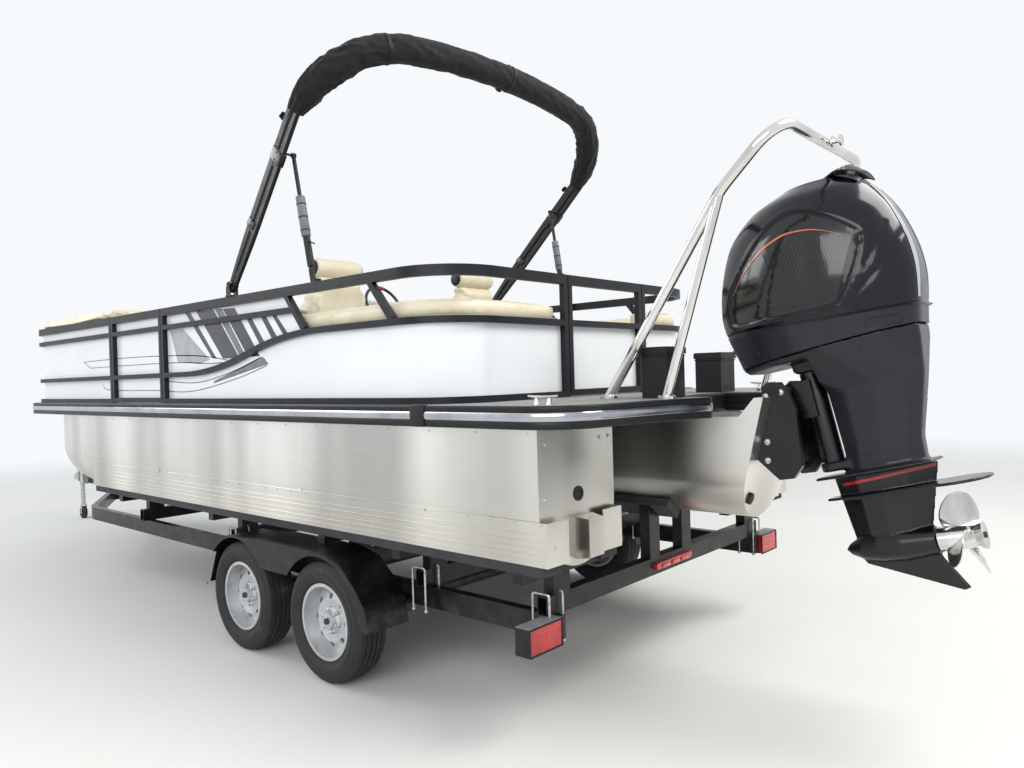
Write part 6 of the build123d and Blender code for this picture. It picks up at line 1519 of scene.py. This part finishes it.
BACKDROP, SKY = (0.93, 0.95, 0.97, 1.0), (0.86, 0.93, 1.0, 1.0)      # linear
FADE_NEAR, FADE_FAR = 6.5, 16.0
MIDDLE = ship(2.0, 0.0, 0.0)


def seen_directly(tree):
    """1 for camera, glossy and transmission rays, else 0."""
    rays = add_node(tree, "ShaderNodeLightPath").outputs
    first = rays["Is Camera Ray"]
    for name in ("Is Glossy Ray", "Is Transmission Ray"):
        first = add_node(tree, "ShaderNodeMath", first, rays[name], operation="MAXIMUM").outputs[0]
    return first


def fade_to_backdrop(material):
    """Far from the boat the floor runs into the pale backdrop, as a studio's sweep does."""
    tree = material.node_tree
    out = next(n for n in tree.nodes if n.type == "OUTPUT_MATERIAL").inputs["Surface"]
    lit = out.links[0].from_socket
    place = add_node(tree, "ShaderNodeNewGeometry").outputs["Position"]
    off = add_node(tree, "ShaderNodeVectorMath", place, MIDDLE, operation="DISTANCE").outputs["Value"]
    reach = {"From Min": FADE_NEAR, "From Max": FADE_FAR}
    share = add_node(tree, "ShaderNodeMapRange", interpolation_type="SMOOTHSTEP", Value=off, **reach)
    share = share.outputs["Result"]
    both = add_node(tree, "ShaderNodeMath", share, seen_directly(tree), operation="MULTIPLY")
    pale = add_node(tree, "ShaderNodeEmission", BACKDROP).outputs[0]
    tree.links.new(add_node(tree, "ShaderNodeMixShader", both.outputs[0], lit, pale).outputs[0], out)


def make_stage():
    bm = bmesh.new()
    bmesh.ops.create_grid(bm, x_segments=2, y_segments=2, size=60.0)
    mesh = bpy.data.meshes.new("floor")
    bm.to_mesh(mesh)
    bm.free()
    floor = linked("floor", mesh)
    f = Finish("floor")
    f.colour(f.ramp(f.noise(0.35, 4.0), (0.3, (228, 226, 221)), (0.7, (236, 234, 230))))
    f.roughness(f.noise(2.0), 0.85, 0.95)
    fade_to_backdrop(f.material)
    mesh.materials.append(f.material)


def make_world():
    """Soft sky light, with the pale backdrop where the camera and mirrors see it."""
    world = bpy.data.worlds.new("studio")
    SCENE.world = world
    world.use_nodes = True
    tree = world.node_tree
    tree.nodes.clear()
    soft = add_node(tree, "ShaderNodeBackground", SKY, 0.62).outputs[0]
    white = add_node(tree, "ShaderNodeBackground", BACKDROP, 1.0).outputs[0]
    mix = add_node(tree, "ShaderNodeMixShader", seen_directly(tree), soft, white).outputs[0]
    add_node(tree, "ShaderNodeOutputWorld", mix)


def lamp(name, place, aim, size, power, colour=(1, 1, 1)):
    data = bpy.data.lights.new(name, "AREA")
    data.shape = "RECTANGLE"
    data.size, data.size_y = size
    data.energy = power
    data.color = colour
    made = linked(name, data)
    made.location = place
    made.rotation_euler = (aim - place).to_track_quat("-Z", "Y").to_euler()


CAMERA_PLACE = ship(-2.642, 3.754, 1.639)
CAMERA_YAW, CAMERA_PITCH, CAMERA_ROLL = radians(-48.409), radians(-0.669), radians(-1.655)
FOCAL_PIXELS, IMAGE_WIDTH, SENSOR = 774.875, 1024, 36.0


def make_camera():
    flat = cos(CAMERA_PITCH)
    ahead = Vector((flat * cos(CAMERA_YAW), flat * sin(CAMERA_YAW), sin(CAMERA_PITCH)))
    level = ahead.cross(Vector((0, 0, 1))).normalized()
    over = level.cross(ahead)
    right = level * cos(CAMERA_ROLL) + over * sin(CAMERA_ROLL)
    up = over * cos(CAMERA_ROLL) - level * sin(CAMERA_ROLL)
    data = bpy.data.cameras.new("camera")
    data.sensor_width = SENSOR
    data.lens = FOCAL_PIXELS / IMAGE_WIDTH * SENSOR
    data.clip_end = 200.0
    SCENE.camera = linked("camera", data)
    turn = Matrix((right, up, -ahead)).transposed().to_4x4()
    SCENE.camera.matrix_world = Matrix.Translation(CAMERA_PLACE) @ turn


make_stage()
make_world()
lamp("key", ship(-6.0, -3.0, 9.0), ship(1.5, 0, 1.2), (7.0, 5.0), 900.0, (1.0, 0.97, 0.92))
lamp("side", ship(-3.0, 9.0, 5.0), ship(1.5, 0.5, 1.2), (9.0, 4.0), 420.0)
lamp("bow", ship(10.0, 5.0, 6.0), ship(3.0, 0, 1.5), (6.0, 4.0), 300.0)
make_camera()
SCENE.view_settings.view_transform = "Standard"
